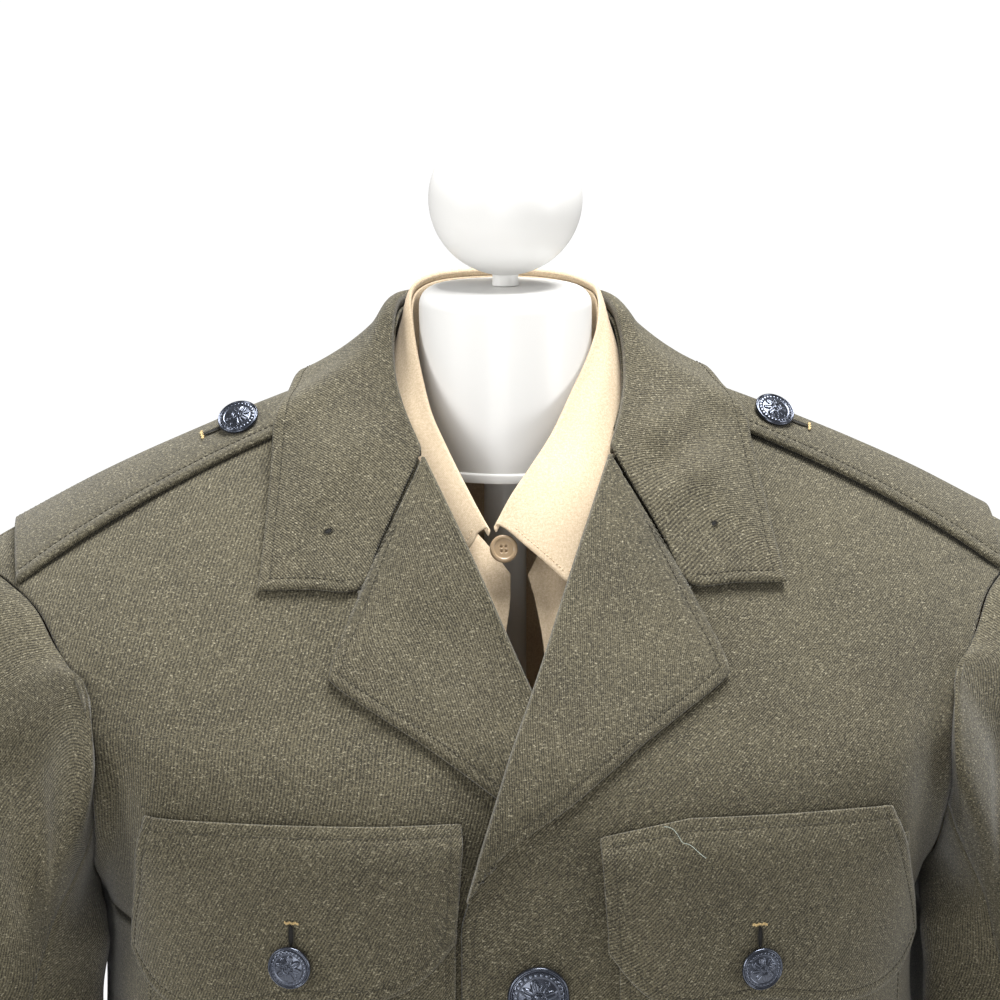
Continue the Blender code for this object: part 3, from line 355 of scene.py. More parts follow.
def coat_panel_rows(face, shares, hand):
    """A coat panel's level sections, from the hem to the shoulder seam."""
    rows = []
    for z, out in panel_places(COAT_GARMENT, face, BODY_HEIGHTS, SHOULDER_HEIGHTS):
        rows.append(COAT.section(z, inner_edge(z, face), out, face, shares))
    points = np.array(rows)
    if face == FRONT:
        points[..., 1] += front_sink(points[..., 0], points[..., 2], hand)
    return open_side_seam(points, BODY_HEIGHTS, face)


def mirror(points, hand):
    """Points of the wearer's left side, set on the given side."""
    return points * np.array([hand, 1.0, 1.0])


def refine(points, at, axis, corners=()):
    """Curves through the rows (axis 0) or columns (axis 1), read at shares of their length.

    Knots are the mean distances between neighbours; a corner row keeps its kink.
    """
    points = np.moveaxis(points, axis, 0)
    gaps = np.linalg.norm(np.diff(points, axis=0), axis=-1)
    knots = added_up(gaps.mean(axis=tuple(range(1, gaps.ndim))))
    at = np.asarray(at) * knots[-1]
    fine = np.empty((len(at),) + points.shape[1:])
    ends = [0, *corners, len(points) - 1]
    for first, last in zip(ends[:-1], ends[1:]):
        inside = (at >= knots[first] - 1e-12) & (at <= knots[last] + 1e-12)
        part = slice(first, last + 1)
        fine[inside] = curve_through(knots[part], points[part], at[inside])
    return np.moveaxis(fine, 0, axis)


def finer(coarse, down, across, corners=()):
    """A coarse grid read at shares down its columns and then across its rows."""
    return refine(refine(coarse, down, 0, corners), across, 1)


def steps(length, pitch, near=False, far=False, corners=()):
    """Shares along a length at an even pitch, close together by each finished edge."""
    close = np.array([0.0, 0.35, 0.8, 1.4, 2.2, 3.1, 3.8, 4.3, 4.8, 5.5, 6.5]) * MM
    inner = np.arange(0.0, length, pitch)
    lines = [inner[(inner >= 0.0075 * near) & (inner <= length - 0.0075 * far)]]
    if near:
        lines.append(close)
    if far:
        lines.append(length - close)
    lines.append(np.array([0.0, length]))
    lines.append(np.asarray(corners) * length)
    shares = np.unique(np.round(np.concatenate(lines) / length, 7))
    keep = np.concatenate([[True], np.diff(shares) > 0.25 * MM / length])
    keep[-1] = True
    return shares[keep]


def row_share(points, axis, index):
    """The share of the length at which a corner row or column lies."""
    points = np.moveaxis(points, axis, 0)
    gaps = np.linalg.norm(np.diff(points, axis=0), axis=-1)
    knots = added_up(gaps.mean(axis=1))
    return knots[index] / knots[-1]


def grid_normals(points, wrap=False):
    """Unit normals of a grid: the column direction crossed with the row direction."""
    if wrap:
        padded = np.concatenate([points[:, -1:], points, points[:, :1]], 1)
        across = np.gradient(padded, axis=1)[:, 1:-1]
    else:
        across = np.gradient(points, axis=1)
    normals = np.cross(across, np.gradient(points, axis=0))
    length = np.linalg.norm(normals, axis=-1, keepdims=True)
    return normals / np.maximum(length, 1e-12)


def crease(u, v, rows):
    """Soft ridges and troughs: a Gaussian across each line, faded at the line's ends."""
    total = np.zeros(np.broadcast(u, v).shape)
    for u0, v0, u1, v1, width, height in zip(*rows.values()):
        along = np.array([u1 - u0, v1 - v0])
        size = np.hypot(*along)
        share = ((u - u0) * along[0] + (v - v0) * along[1]) / size ** 2
        across = ((u - u0) * along[1] - (v - v0) * along[0]) / size
        past = np.maximum(np.maximum(-share, share - 1), 0) * size
        ends = 0.35 + 0.65 * smooth(4 * np.minimum(share, 1 - share))
        fade = np.exp(-(past / (1.6 * width)) ** 2) * ends
        total = total + height * np.exp(-(across / width) ** 2) * fade
    return total


def ripple(u, v, seed, size, height):
    """Slow unevenness of cloth: a few long waves added up, the same each run."""
    draw = np.random.default_rng(seed)
    total = np.zeros(np.broadcast(u, v).shape)
    for _ in range(7):
        angle, phase = draw.uniform(0, math.pi), draw.uniform(0, 2 * math.pi)
        pitch = size * draw.uniform(0.7, 1.9)
        total = total + np.sin((u * math.cos(angle) + v * math.sin(angle)) * 2 * math.pi / pitch + phase)
    return height * total / 2.6


def distance_to(points, edges):
    """Distance from each grid point to the nearest point of the given edge lines."""
    edge = np.concatenate(edges)
    far = np.empty(points.shape[:2])
    for row, line in enumerate(points):
        far[row] = np.sqrt(((line[:, None] - edge[None]) ** 2).sum(-1)).min(1)
    return far


def stitched_edge(gap, inset=4.6 * MM, groove=0.32 * MM, roll=0.55 * MM):
    """A turned edge that thins to its end, with a groove where the stitches pull in."""
    turned = -roll * (1 - smooth(gap / (1.5 * MM)))
    return turned - groove * np.exp(-((gap - inset) / (0.85 * MM)) ** 2)


def grain(points, turn=0.0, middle=False):
    """Lengths in metres across each row and down the rows where they lie closest, turned.

    Each row's lengths start at its own width out, or count from its middle column.
    """
    across = np.linalg.norm(np.diff(points, axis=1), axis=-1)
    u = np.concatenate([np.zeros((len(points), 1)), np.cumsum(across, 1)], 1)
    u = u - u[:, [u.shape[1] // 2]] if middle else u + points[:, :1, 0]
    down = np.linalg.norm(np.diff(points, axis=0), axis=-1).min(1)
    v = np.repeat(added_up(down)[:, None], points.shape[1], 1)
    return np.stack([u * math.cos(turn) - v * math.sin(turn), u * math.sin(turn) + v * math.cos(turn)], -1)


def shell(name, outer, wall, uv, mirrored=False, wrap=False):
    """A closed wall: the outer grid, the same grid a wall's thickness in, and a round rim."""
    rows, columns = outer.shape[:2]
    sign = -1.0 if mirrored else 1.0
    normal = grid_normals(outer, wrap) * sign
    inner = outer - normal * wall
    count = rows * columns
    index = np.arange(count).reshape(rows, columns)
    if wrap:
        index = np.concatenate([index, index[:, :1]], 1)
    quad = np.stack([index[:-1, :-1], index[:-1, 1:], index[1:, 1:], index[1:, :-1]], -1).reshape(-1, 4)
    if wrap:
        loops = [(index[0], -1), (index[-1], 1)]
    else:
        ring = np.concatenate([index[0], index[1:, -1], index[-1, -2::-1], index[-2:0:-1, 0], index[:1, 0]])
        loops = [(ring, -1)]
    vertices = [outer.reshape(-1, 3), inner.reshape(-1, 3)]
    faces = [quad, quad[:, ::-1] + count]
    made = 2 * count
    uvs = [uv.reshape(-1, 2), uv.reshape(-1, 2)]
    flat_normal = normal.reshape(-1, 3)
    for ring, turn in loops:
        body = ring[:-1]
        line = vertices[0][body]
        along = np.roll(line, -1, 0) - np.roll(line, 1, 0)
        out = np.cross(along, flat_normal[body]) * (-turn) * sign
        out /= np.maximum(np.linalg.norm(out, axis=1, keepdims=True), 1e-12)
        middle = line - flat_normal[body] * wall / 2 + out * wall * 0.38
        vertices.append(middle)
        uvs.append(uvs[0][body])
        mid = np.append(made + np.arange(len(body)), made)
        made += len(body)
        for first, second in ((ring, mid), (mid, ring + count)):
            face = np.stack([first[:-1], second[:-1], second[1:], first[1:]], -1)
            faces.append(face if turn == -1 else face[:, ::-1])
    faces = np.concatenate(faces)
    if mirrored:
        faces = faces[:, ::-1]
    vertices, uvs = np.concatenate(vertices), np.concatenate(uvs)
    mesh = bpy.data.meshes.new(name)
    mesh.from_pydata(vertices.tolist(), [], faces.tolist())
    layer = mesh.uv_layers.new(name="grain")
    layer.data.foreach_set("uv", uvs[faces.ravel()].ravel().astype(np.float32))
    mesh.shade_smooth()
    return mesh


def finish_piece(name, mesh, material, nodes=()):
    """Puts a piece in the scene on the part's one body, standing for its CAD nodes."""
    mesh.materials.append(material)
    piece = bpy.data.objects.new(name, mesh)
    bpy.context.scene.collection.objects.link(piece)
    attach(piece, "root")
    if nodes:
        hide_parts(*nodes)
    return piece


def new_group(name, inputs, outputs):
    """An empty shader node group with named sockets, each (name, kind, value)."""
    group = bpy.data.node_groups.new(name, "ShaderNodeTree")
    for direction, sockets in (("INPUT", inputs), ("OUTPUT", outputs)):
        for socket_name, kind, value in sockets:
            socket_type = f"NodeSocket{kind}"
            socket = group.interface.new_socket(socket_name, in_out=direction, socket_type=socket_type)
            if value is not None:
                socket.default_value = value
    return group, group.nodes.new("NodeGroupInput"), group.nodes.new("NodeGroupOutput")


def node(tree, kind, values=(), links=(), **settings):
    """A shader node with its settings, socket values and incoming links."""
    made = tree.nodes.new(f"ShaderNode{kind}")
    for key, value in settings.items():
        setattr(made, key, value)
    for key, value in dict(values).items():
        made.inputs[key].default_value = value
    for key, source in dict(links).items():
        tree.links.new(source, made.inputs[key])
    return made


def maths(tree, operation, *values):
    """One Math node on sockets and numbers."""
    made = node(tree, "Math", operation=operation)
    for socket, value in zip(made.inputs, values):
        if isinstance(value, (int, float)):
            socket.default_value = value
        else:
            tree.links.new(value, socket)
    return made.outputs[0]


def mix_colour(tree, share, first, second):
    """One Mix node on two colours, each a socket or a colour."""
    made = node(tree, "Mix", data_type="RGBA")
    for key, value in ((0, share), (6, first), (7, second)):
        if isinstance(value, (int, float, tuple)):
            made.inputs[key].default_value = value
        else:
            tree.links.new(value, made.inputs[key])
    return made.outputs[2]


def linear(red, green, blue):
    """A colour as seen on a screen, 0 to 255, made linear."""
    values = np.array([red, green, blue]) / 255
    values = np.where(values <= 0.04045, values / 12.92, ((values + 0.055) / 1.055) ** 2.4)
    return (*values.tolist(), 1.0)


def weave_group():
    """Twill: diagonal ribs, dyed fibres in mixed tones, pale flecks and a soft nap.

    Grain is along the threads and Place in the room, both in metres. The ribs follow the
    grain, Pitch millimetres apart; fibres and flecks follow the place.
    """
    group, entry, leave = new_group(
        "woven_twill",
        [("Grain", "Vector", None), ("Place", "Vector", None), ("Pitch", "Float", 1.3),
         ("Lean", "Float", 0.5), ("Deep", "Color", (0, 0, 0, 1)), ("Body", "Color", (0, 0, 0, 1)),
         ("Fleck", "Color", (1, 1, 1, 1)), ("Flecks", "Float", 0.5)],
        [("Color", "Color", None), ("Height", "Float", None)],
    )

    def scaled(source, factors):
        return node(group, "VectorMath", {1: factors}, {0: source}, operation="MULTIPLY").outputs[0]

    def noise(scale, detail, roughness=0.5, where=None):
        values = {"Scale": scale, "Detail": detail, "Roughness": roughness}
        return node(group, "TexNoise", values, {"Vector": place if where is None else where}).outputs[0]

    def plus(first, second):
        return maths(group, "ADD", first, second)

    def times(first, second):
        return maths(group, "MULTIPLY", first, second)

    def contrast(source, middle, gain):
        return times(maths(group, "SUBTRACT", source, middle), gain)

    to_mm = (1000, 1000, 1000)
    split = node(group, "SeparateXYZ", {}, {0: scaled(entry.outputs["Grain"], to_mm)})
    place = scaled(entry.outputs["Place"], to_mm)
    wobble = noise(0.35, 2.0)
    line = plus(split.outputs[0], times(split.outputs[1], entry.outputs["Lean"]))
    line = plus(line, times(wobble, 0.35))
    turns = maths(group, "DIVIDE", times(line, 2 * math.pi), entry.outputs["Pitch"])
    rib = maths(group, "MULTIPLY_ADD", maths(group, "SINE", turns), 0.5, 0.5)
    fibre = plus(*(noise(1.0, 3.0, 0.65, scaled(place, way)) for way in ((1.9, 1.0, 0.6), (0.7, 1.1, 1.8))))
    fine, slub = noise(2.6, 2.0), noise(0.030, 3.0)
    tone = contrast(fibre, 0.78, 1.9)
    for source, gain in ((rib, 0.60), (slub, 0.4), (fine, 1.7)):
        tone = plus(tone, contrast(source, 0.5, gain))
    tone = node(group, "Clamp", {}, {0: tone}).outputs[0]
    colour = mix_colour(group, tone, entry.outputs["Deep"], entry.outputs["Body"])
    spot = noise(1.0, 4.0, 0.75, scaled(place, (0.9, 1.2, 1.5)))
    pale = node(group, "Clamp", {}, {0: contrast(spot, 0.555, 7.0)}).outputs[0]
    colour = mix_colour(group, times(pale, entry.outputs["Flecks"]), colour, entry.outputs["Fleck"])
    height = plus(plus(times(rib, 0.55), times(fine, 0.6)), times(fibre, 0.35))
    group.links.new(colour, leave.inputs["Color"])
    group.links.new(height, leave.inputs["Height"])
    return group


WOVEN_TWILL = weave_group()


def cloth_material(name, pitch, lean, deep, body, fleck, flecks, bump, roughness, sheen):
    """Rough cloth with a sheen, woven by the group: pitch in mm, tones and pale flecks."""
    material = bpy.data.materials.new(name)
    material.use_nodes = True
    tree = material.node_tree
    shader = tree.nodes["Principled BSDF"]
    shader.inputs["Roughness"].default_value = roughness
    shader.inputs["Sheen Weight"].default_value = sheen
    shader.inputs["Sheen Roughness"].default_value = 0.45
    shader.inputs["Specular IOR Level"].default_value = 0.25
    grain_map = node(tree, "UVMap", uv_map="grain")
    weave = tree.nodes.new("ShaderNodeGroup")
    weave.node_tree = WOVEN_TWILL
    for key, value in (("Pitch", pitch), ("Lean", lean), ("Deep", deep), ("Body", body),
                       ("Fleck", fleck), ("Flecks", flecks)):
        weave.inputs[key].default_value = value
    tree.links.new(grain_map.outputs[0], weave.inputs["Grain"])
    tree.links.new(node(tree, "TexCoord").outputs["Object"], weave.inputs["Place"])
    relief = node(tree, "Bump", {"Strength": bump, "Distance": 0.0004}, {"Height": weave.outputs["Height"]})
    tree.links.new(weave.outputs["Color"], shader.inputs["Base Color"])
    tree.links.new(relief.outputs[0], shader.inputs["Normal"])
    return material


WOOL = cloth_material(
    "wool_twill", pitch=1.4, lean=1.0, deep=linear(38, 35, 26), body=linear(97, 91, 72),
    fleck=linear(192, 184, 158), flecks=0.60, bump=0.70, roughness=0.92, sheen=0.16,
)


def cloth_piece(name, points, wall, material, slot, nodes, cut, held, rests_on,
                mirrored=False, wrap=False, turn=0.0, middle=False, pattern=None):
    """A cloth shell; cut, the sheet it was cut from (width, length, share of that oblong), is not used.

    The grain of a piece that isn't mirrored is turned over, so that all twill leans one way.
    """
    threads = grain(points, turn, middle) if pattern is None else pattern
    if not mirrored:
        threads = threads * np.array([-1.0, 1.0])
    mesh = shell(name, points, wall, threads, mirrored, wrap)
    piece = finish_piece(name, mesh, material, nodes)
    return piece


FRONT_CREASES = {
    LEFT: table(
        "u v u_end v_end width height",
        (0.168, 1.255, 0.166, 1.135, 0.011, -0.0042),
        (0.150, 1.262, 0.140, 1.150, 0.016, 0.0016),
        (0.020, 1.130, 0.110, 1.040, 0.012, 0.0016),
        (0.030, 1.012, 0.140, 0.985, 0.012, -0.0020),
        (0.020, 0.990, 0.120, 0.945, 0.013, 0.0018),
        (0.060, 0.900, 0.130, 0.700, 0.018, 0.0030),
        (0.020, 0.880, 0.050, 0.690, 0.016, -0.0022),
        (0.150, 0.960, 0.165, 0.720, 0.014, -0.0026),
    ),
    RIGHT: table(
        "u v u_end v_end width height",
        (0.168, 1.255, 0.166, 1.130, 0.011, -0.0042),
        (0.151, 1.262, 0.142, 1.150, 0.017, 0.0014),
        (0.030, 1.120, 0.120, 1.025, 0.012, 0.0018),
        (0.020, 1.000, 0.140, 0.975, 0.012, -0.0020),
        (0.040, 0.975, 0.130, 0.935, 0.013, 0.0016),
        (0.075, 0.890, 0.120, 0.700, 0.018, 0.0030),
        (0.030, 0.900, 0.060, 0.690, 0.017, -0.0020),
        (0.150, 0.950, 0.162, 0.720, 0.014, -0.0024),
    ),
}
PANEL_LENGTH, PANEL_WIDTH = 0.74, 0.21
ARMPIT_ROWS, ARMPIT_PITCH = 9, 1.3 * MM
BACK_CREASES = table(
    "u v u_end v_end width height",
    (0.160, 1.270, 0.158, 1.130, 0.013, -0.0050),
    (0.060, 1.290, 0.150, 1.180, 0.016, 0.0022),
    (0.010, 1.345, 0.110, 1.325, 0.008, -0.0012),
    (0.020, 1.010, 0.150, 0.985, 0.012, -0.0026),
    (0.030, 0.985, 0.140, 0.950, 0.012, 0.0022),
    (0.080, 0.900, 0.110, 0.690, 0.020, 0.0034),
    (0.035, 0.900, 0.045, 0.690, 0.016, -0.0026),
)


def front_folds(u, z, hand):
    """Listed folds and slow unevenness of a front, shared by what lies on it."""
    return crease(u, z, FRONT_CREASES[hand]) + ripple(u, z, 20 + hand, 0.15, 0.0005)


def away_from_seams(shares_down, shares_across, reach=0.05, free=0.04):
    """One inside a panel, nothing at its last row and column and less at its first ones."""
    down = smooth(np.minimum(shares_down + free, 1 - shares_down) / reach)
    across = smooth(np.minimum(shares_across + free, 1 - shares_across) / reach)
    return down[:, None] * across[None, :]


def coat_panel(face, hand):
    """A body panel: sections across, closed smoothly up the rows, with its folds.

    Close rows above the armpit keep the kink there smooth.
    """
    coarse = coat_panel_rows(face, np.linspace(0, 1, 33), hand)
    kinks = (len(BODY_HEIGHTS), len(BODY_HEIGHTS) + len(ARMHOLE["height"]))
    pitch = 3.0 * MM if face == FRONT else 4.5 * MM
    corners = [row_share(coarse, 0, kink) for kink in kinks]
    corners += list(corners[0] + np.arange(1, ARMPIT_ROWS + 1) * ARMPIT_PITCH / PANEL_LENGTH)
    down = steps(PANEL_LENGTH, pitch * 1.5, near=True, corners=corners)
    across = steps(PANEL_WIDTH, pitch, near=face == FRONT)
    points = finer(coarse, down, across, kinks)
    u, z = points[..., 0], points[..., 2]
    if face == FRONT:
        folds = front_folds(u, z, hand)
        turned = stitched_edge(distance_to(points, [points[:, 0][points[:, 0, 2] < BREAK]]))
        turned *= z < BREAK
    else:
        folds = crease(u, z, BACK_CREASES) + ripple(u, z, 40 + hand, 0.16, 0.0008)
        folds = folds * smooth(distance_to(points, [points[:, -1]]) / 0.030)
        turned = -0.0007 * np.exp(-((u - SEAM) / 0.0016) ** 2) * (z < 1.36)
    lift = folds * away_from_seams(down, across) + turned
    side = grid_normals(points) * (1 if face == FRONT else -1)
    return points + side * lift[..., None]


COAT_SLOT = dict(material=WOOL, slot="coat_wool")
coat_fronts = {}
for hand in (LEFT, RIGHT):
    word = HAND_NAMES[hand]
    coat_fronts[hand] = mirror(coat_panel(FRONT, hand), hand)
    cloth_piece(f"wool_front_{word}", coat_fronts[hand], COAT_WALL, **COAT_SLOT,
                nodes=[f"coat_front_{word}"], cut=(0.300, 0.760, 0.863), held="hung",
                rests_on=[f"shoulder_form_{word}"], mirrored=hand == RIGHT)
    cloth_piece(f"wool_back_{word}", mirror(coat_panel(BACK, hand), hand), COAT_WALL, **COAT_SLOT,
                nodes=[f"coat_back_{word}"], cut=(0.265, 0.745, 0.892), held="hung",
                rests_on=[f"shoulder_form_{word}"], mirrored=hand == LEFT)

# Coat sleeves
# A top and an under sleeve are set into the armhole over a light pad, so the head
# stands up and falls straight. The seams run down inside the front and the back.
COAT_ARM = table(
    "height centre_out centre_y half_width half_depth",
    (0.700, 0.2440, -0.044, 0.0380, 0.059),
    (0.800, 0.2390, -0.031, 0.0400, 0.064),
    (0.900, 0.2340, -0.019, 0.0425, 0.069),
    (0.980, 0.2300, -0.011, 0.0445, 0.073),
    (1.050, 0.2275, -0.007, 0.0460, 0.076),
    (1.120, 0.2260, -0.004, 0.0470, 0.079),
)
CAP_SHARES = (0, 0.12, 0.27, 0.44, 0.62, 0.81)
COAT_CAP = table("under outward normal down", (0, 0.80, 0.30, 0.0), (0.5, 0.45, 0.40, 0.30), (1, 0, 0.6, 0.8))


def armhole_normals(garment, face):
    """The panel's outward direction at each armhole point, from the armpit up."""
    form = garment["form"]
    line = armhole_line(garment, face)
    along = np.gradient(line, axis=0)
    normals = []
    for (out, _, z), way in zip(line, along):
        turn = form.section(z, out - 0.012, out, face, (0.0, 1.0))
        normal = np.cross(turn[1] - turn[0], way)
        normal *= np.sign(normal @ np.array([0.6, 0.6 * face, 0.5]))
        normals.append(normal / np.linalg.norm(normal))
    normals[0] = np.array([1.0, 0.0, 0.0])
    normals[-1] = np.array([0.35, 0.0, 0.94])
    return np.array(normals)


def sleeve_columns(garment):
    """The armhole loop from the tip down the front and up the back, with its directions."""
    front = armhole_line(garment, FRONT)[::-1]
    back = armhole_line(garment, BACK)
    loop = np.concatenate([front, back[1:-1]])
    gaps = np.linalg.norm(np.roll(loop, -1, 0) - loop, axis=1)
    half = len(front) - 1
    angle = np.zeros(len(loop))
    angle[1:half + 1] = math.pi * np.cumsum(gaps[:half]) / gaps[:half].sum()
    angle[half + 1:] = math.pi * (1 + np.cumsum(gaps[half:-1]) / gaps[half:].sum())
    along = np.roll(loop, -1, 0) - np.roll(loop, 1, 0)
    along /= np.linalg.norm(along, axis=1, keepdims=True)
    normal = np.concatenate([armhole_normals(garment, FRONT)[::-1], armhole_normals(garment, BACK)[1:-1]])
    normal -= along * np.sum(normal * along, 1, keepdims=True)
    normal /= np.linalg.norm(normal, axis=1, keepdims=True)
    outward = np.cross(along, normal)
    middle = np.array([garment["tip"] - 0.078, 0.0, garment["armpit"] + 0.065])
    outward *= np.sign(np.sum(outward * (loop - middle), 1, keepdims=True))
    return loop, angle, normal, outward


def arm_ring(arm, z, angle):
    """A level ellipse round the arm, from its outside forward."""
    out = read(arm, "centre_out", z) + read(arm, "half_width", z) * np.cos(angle)
    y = read(arm, "centre_y", z) - read(arm, "half_depth", z) * np.sin(angle)
    return np.stack([out, y, np.full(len(angle), z)], -1)


def sleeve_rings(garment, cap, arm):
    """Rings of one sleeve: a cubic from the armhole to the arm's first ellipse, then ellipses."""
    loop, angle, normal, outward = sleeve_columns(garment)
    under = (1 - np.cos(angle)) / 2
    start = loop + outward * ARMHOLE_SEAM + normal * SEAM * (1.5 + under)[:, None]
    heights = arm["height"][::-1]
    end = arm_ring(arm, heights[0], angle)
    reach = np.linalg.norm(end - start, axis=1, keepdims=True)
    down = np.array([0.0, 0.0, -1.0])
    leave = np.zeros(loop.shape)
    for key, way in (("outward", outward), ("normal", normal), ("down", down)):
        leave += way * read(cap, key, under, "under")[:, None] * reach
    arrive = down * reach * (1.15 - 0.2 * under)[:, None]
    rings = []
    for t in CAP_SHARES:
        near = (1 + 2 * t) * (1 - t) ** 2 * start + t * (1 - t) ** 2 * leave
        rings.append(near + t * t * (3 - 2 * t) * end + t * t * (t - 1) * arrive)
    rings += [arm_ring(arm, z, angle) for z in heights]
    return np.array(rings)


def split_ring(rings, first, last):
    """The columns between two seams, each seam in the middle of a facet."""
    count = rings.shape[1]
    inner = [index % count for index in range(first + 1, last + 1)]
    starts = (rings[:, first % count] + rings[:, (first + 1) % count]) / 2
    ends = (rings[:, last % count] + rings[:, (last + 1) % count]) / 2
    piece = np.concatenate([starts[:, None], rings[:, inner], ends[:, None]], 1)
    for edge, beside in ((0, 1), (-1, -2)):
        step = piece[:, beside] - piece[:, edge]
        piece[:, edge] += step / np.linalg.norm(step, axis=1, keepdims=True) * SEAM / 2
    return piece


SLEEVE_CREASES = {
    "top": table(
        "u v u_end v_end width height",
        (0.165, 0.052, 0.225, 0.070, 0.008, -0.0030),
        (0.160, 0.070, 0.235, 0.092, 0.009, 0.0022),
        (0.060, 0.050, 0.020, 0.075, 0.009, -0.0026),
        (0.120, 0.120, 0.220, 0.150, 0.012, -0.0016),
        (0.225, 0.100, 0.230, 0.330, 0.010, 0.0020),
        (0.180, 0.285, 0.250, 0.320, 0.009, -0.0030),
        (0.150, 0.315, 0.240, 0.340, 0.009, 0.0026),
        (0.170, 0.350, 0.250, 0.370, 0.008, -0.0022),
        (0.020, 0.300, 0.110, 0.330, 0.010, -0.0020),
        (0.040, 0.400, 0.140, 0.470, 0.014, 0.0016),
        (0.120, 0.500, 0.220, 0.520, 0.012, -0.0014),
    ),
    "under": table(
        "u v u_end v_end width height",
        (0.020, 0.030, 0.110, 0.050, 0.010, -0.0024),
        (0.060, 0.120, 0.080, 0.330, 0.016, -0.0024),
        (0.020, 0.245, 0.110, 0.265, 0.009, -0.0026),
        (0.020, 0.275, 0.110, 0.300, 0.009, 0.0022),
    ),
}


SLEEVE_LENGTH, HEM_TURN, WIDTH_ROW = 0.60, 0.032, 8


def sleeve_piece(coarse, label, hand):
    """One part of a sleeve with its folds and the dent of its turned hem.

    Its inner side, below the armpit, is drawn in towards the body: a Gaussian in depth
    times smooth steps in width and height.
    """
    down = steps(SLEEVE_LENGTH, 4.0 * MM, far=True)
    width = np.linalg.norm(np.diff(coarse[WIDTH_ROW], axis=0), axis=-1).sum()
    across = steps(width, 3.4 * MM)
    points = finer(coarse, down, across)
    u, v = across[None, :] * width, down[:, None] * SLEEVE_LENGTH
    folds = crease(u, v, SLEEVE_CREASES[label]) + ripple(u, v, 60 + hand + len(label), 0.11, 0.0009)
    lift = folds * away_from_seams(down, across, 0.08)
    hem = -0.0005 * np.exp(-(((1 - down) * SLEEVE_LENGTH - HEM_TURN) / 0.0020) ** 2)
    points = points + grid_normals(points) * (lift + hem[:, None])[..., None]
    out, y, z = np.moveaxis(points, -1, 0)
    inner = smooth((0.222 - out) / 0.026) * np.exp(-((y + 0.058) / 0.021) ** 2)
    drape = smooth((1.185 - z) / 0.035) * smooth((z - 0.86) / 0.16)
    return points - np.array([0.0165, 0.0, 0.0]) * (inner * drape)[..., None]


rings = sleeve_rings(COAT_GARMENT, COAT_CAP, COAT_ARM)
columns = rings.shape[1]
front_seam, back_seam = columns // 2 - 5, columns // 2 + 4
SLEEVE_PARTS = {
    "top": split_ring(rings, back_seam, front_seam + columns),
    "under": split_ring(rings, front_seam, back_seam),
}
SLEEVE_CUTS = {"top": (0.260, 0.630, 0.862), "under": (0.150, 0.525, 0.90)}
for hand in (LEFT, RIGHT):
    word = HAND_NAMES[hand]
    for label, coarse in SLEEVE_PARTS.items():
        cloth_piece(f"wool_{label}_sleeve_{word}", mirror(sleeve_piece(coarse, label, hand), hand), COAT_WALL,
                    **COAT_SLOT, nodes=[f"coat_{label}_sleeve_{word}"], cut=SLEEVE_CUTS[label], held="hung",
                    rests_on=[f"wool_front_{word}"], mirrored=hand == RIGHT, middle=True)

# Lapels
# The fronts' facings, folded out along the roll line and pressed flat. The edge is
# turned in and stitched all along, a little under 5 mm from it.
FOLD = table(
    "out up",
    (-0.0012, -0.0050),
    (-0.0016, -0.0020),
    (-0.0004, 0.0000),
    (0.0018, -0.0002),
)
TURNED_WALL = 0.0016
LAPEL_RISE, LAPEL_OUT, LAPEL_FOOT, LAPEL_SHORT = 0.0052, 0.0016, 0.0005, 0.0020
LAPEL_ACROSS = table("share height", (0.30, 0.0048), (0.65, 0.0040), (1.00, 0.0033))
LAPEL_EDGE = table(
    "share out height",
    (0.00, -0.0205, 1.2005),
    (0.08, -0.0105, 1.2100),
    (0.20, 0.0090, 1.2238),
    (0.33, 0.0255, 1.2352),
    (0.46, 0.0420, 1.2470),
    (0.58, 0.0600, 1.2585),
    (0.68, 0.0770, 1.2690),
    (0.73, 0.0808, 1.2722),
    (0.77, 0.0796, 1.2770),
    (0.88, 0.0735, 1.2900),
    (1.00, 0.0668, 1.3036),
)
LAPEL_TIP_ROW, LAPEL_INSET = 7, 4.4 * MM
FOLD_COLUMNS, FOLD_CLEAR = 12, 0.005


def front_surface(u, z, hand, out=0.0):
    """Points on a coat front's outer surface, moved out along its normal."""
    u, z = np.broadcast_arrays(np.asarray(u, float), np.asarray(z, float))

    def depth(at_u, at_z):
        return COAT.depth(at_u, at_z, FRONT) + front_sink(at_u, at_z, hand)

    step = 0.0004
    slope_u = (depth(u + step, z) - depth(u - step, z)) / (2 * step)
    slope_z = (depth(u, z + step) - depth(u, z - step)) / (2 * step)
    normal = np.stack([slope_u, -np.ones_like(slope_u), slope_z], -1)
    normal /= np.linalg.norm(normal, axis=-1, keepdims=True)
    return np.stack([u, depth(u, z), z], -1) + normal * np.asarray(out)[..., None]


def across_fold(coarse, across):
    """Shares across a turned piece: an even set over its fold, then the given ones."""
    fold_share = row_share(coarse, 1, len(FOLD["out"]) - 1)
    flat = across[across > fold_share + FOLD_CLEAR]
    return np.unique(np.concatenate([np.linspace(0, fold_share, FOLD_COLUMNS), flat]))


def turned_row(roll, edge, hand, lying):
    """A row over a front from the fold at roll to edge, both as distance out and height."""
    across = edge - roll
    width = np.linalg.norm(across)
    across = across / width
    low = lying - LAPEL_RISE
    start = FOLD["out"][-1]
    places = list(zip(FOLD["out"], FOLD["up"] + lying))
    for share, height in zip(LAPEL_ACROSS["share"], LAPEL_ACROSS["height"]):
        places.append((start + share * (width - start), height + low))
    u = roll[0] + across[0] * np.array([step for step, _ in places])
    z = roll[1] + across[1] * np.array([step for step, _ in places])
    return front_surface(u, z, hand, np.array([height for _, height in places]))


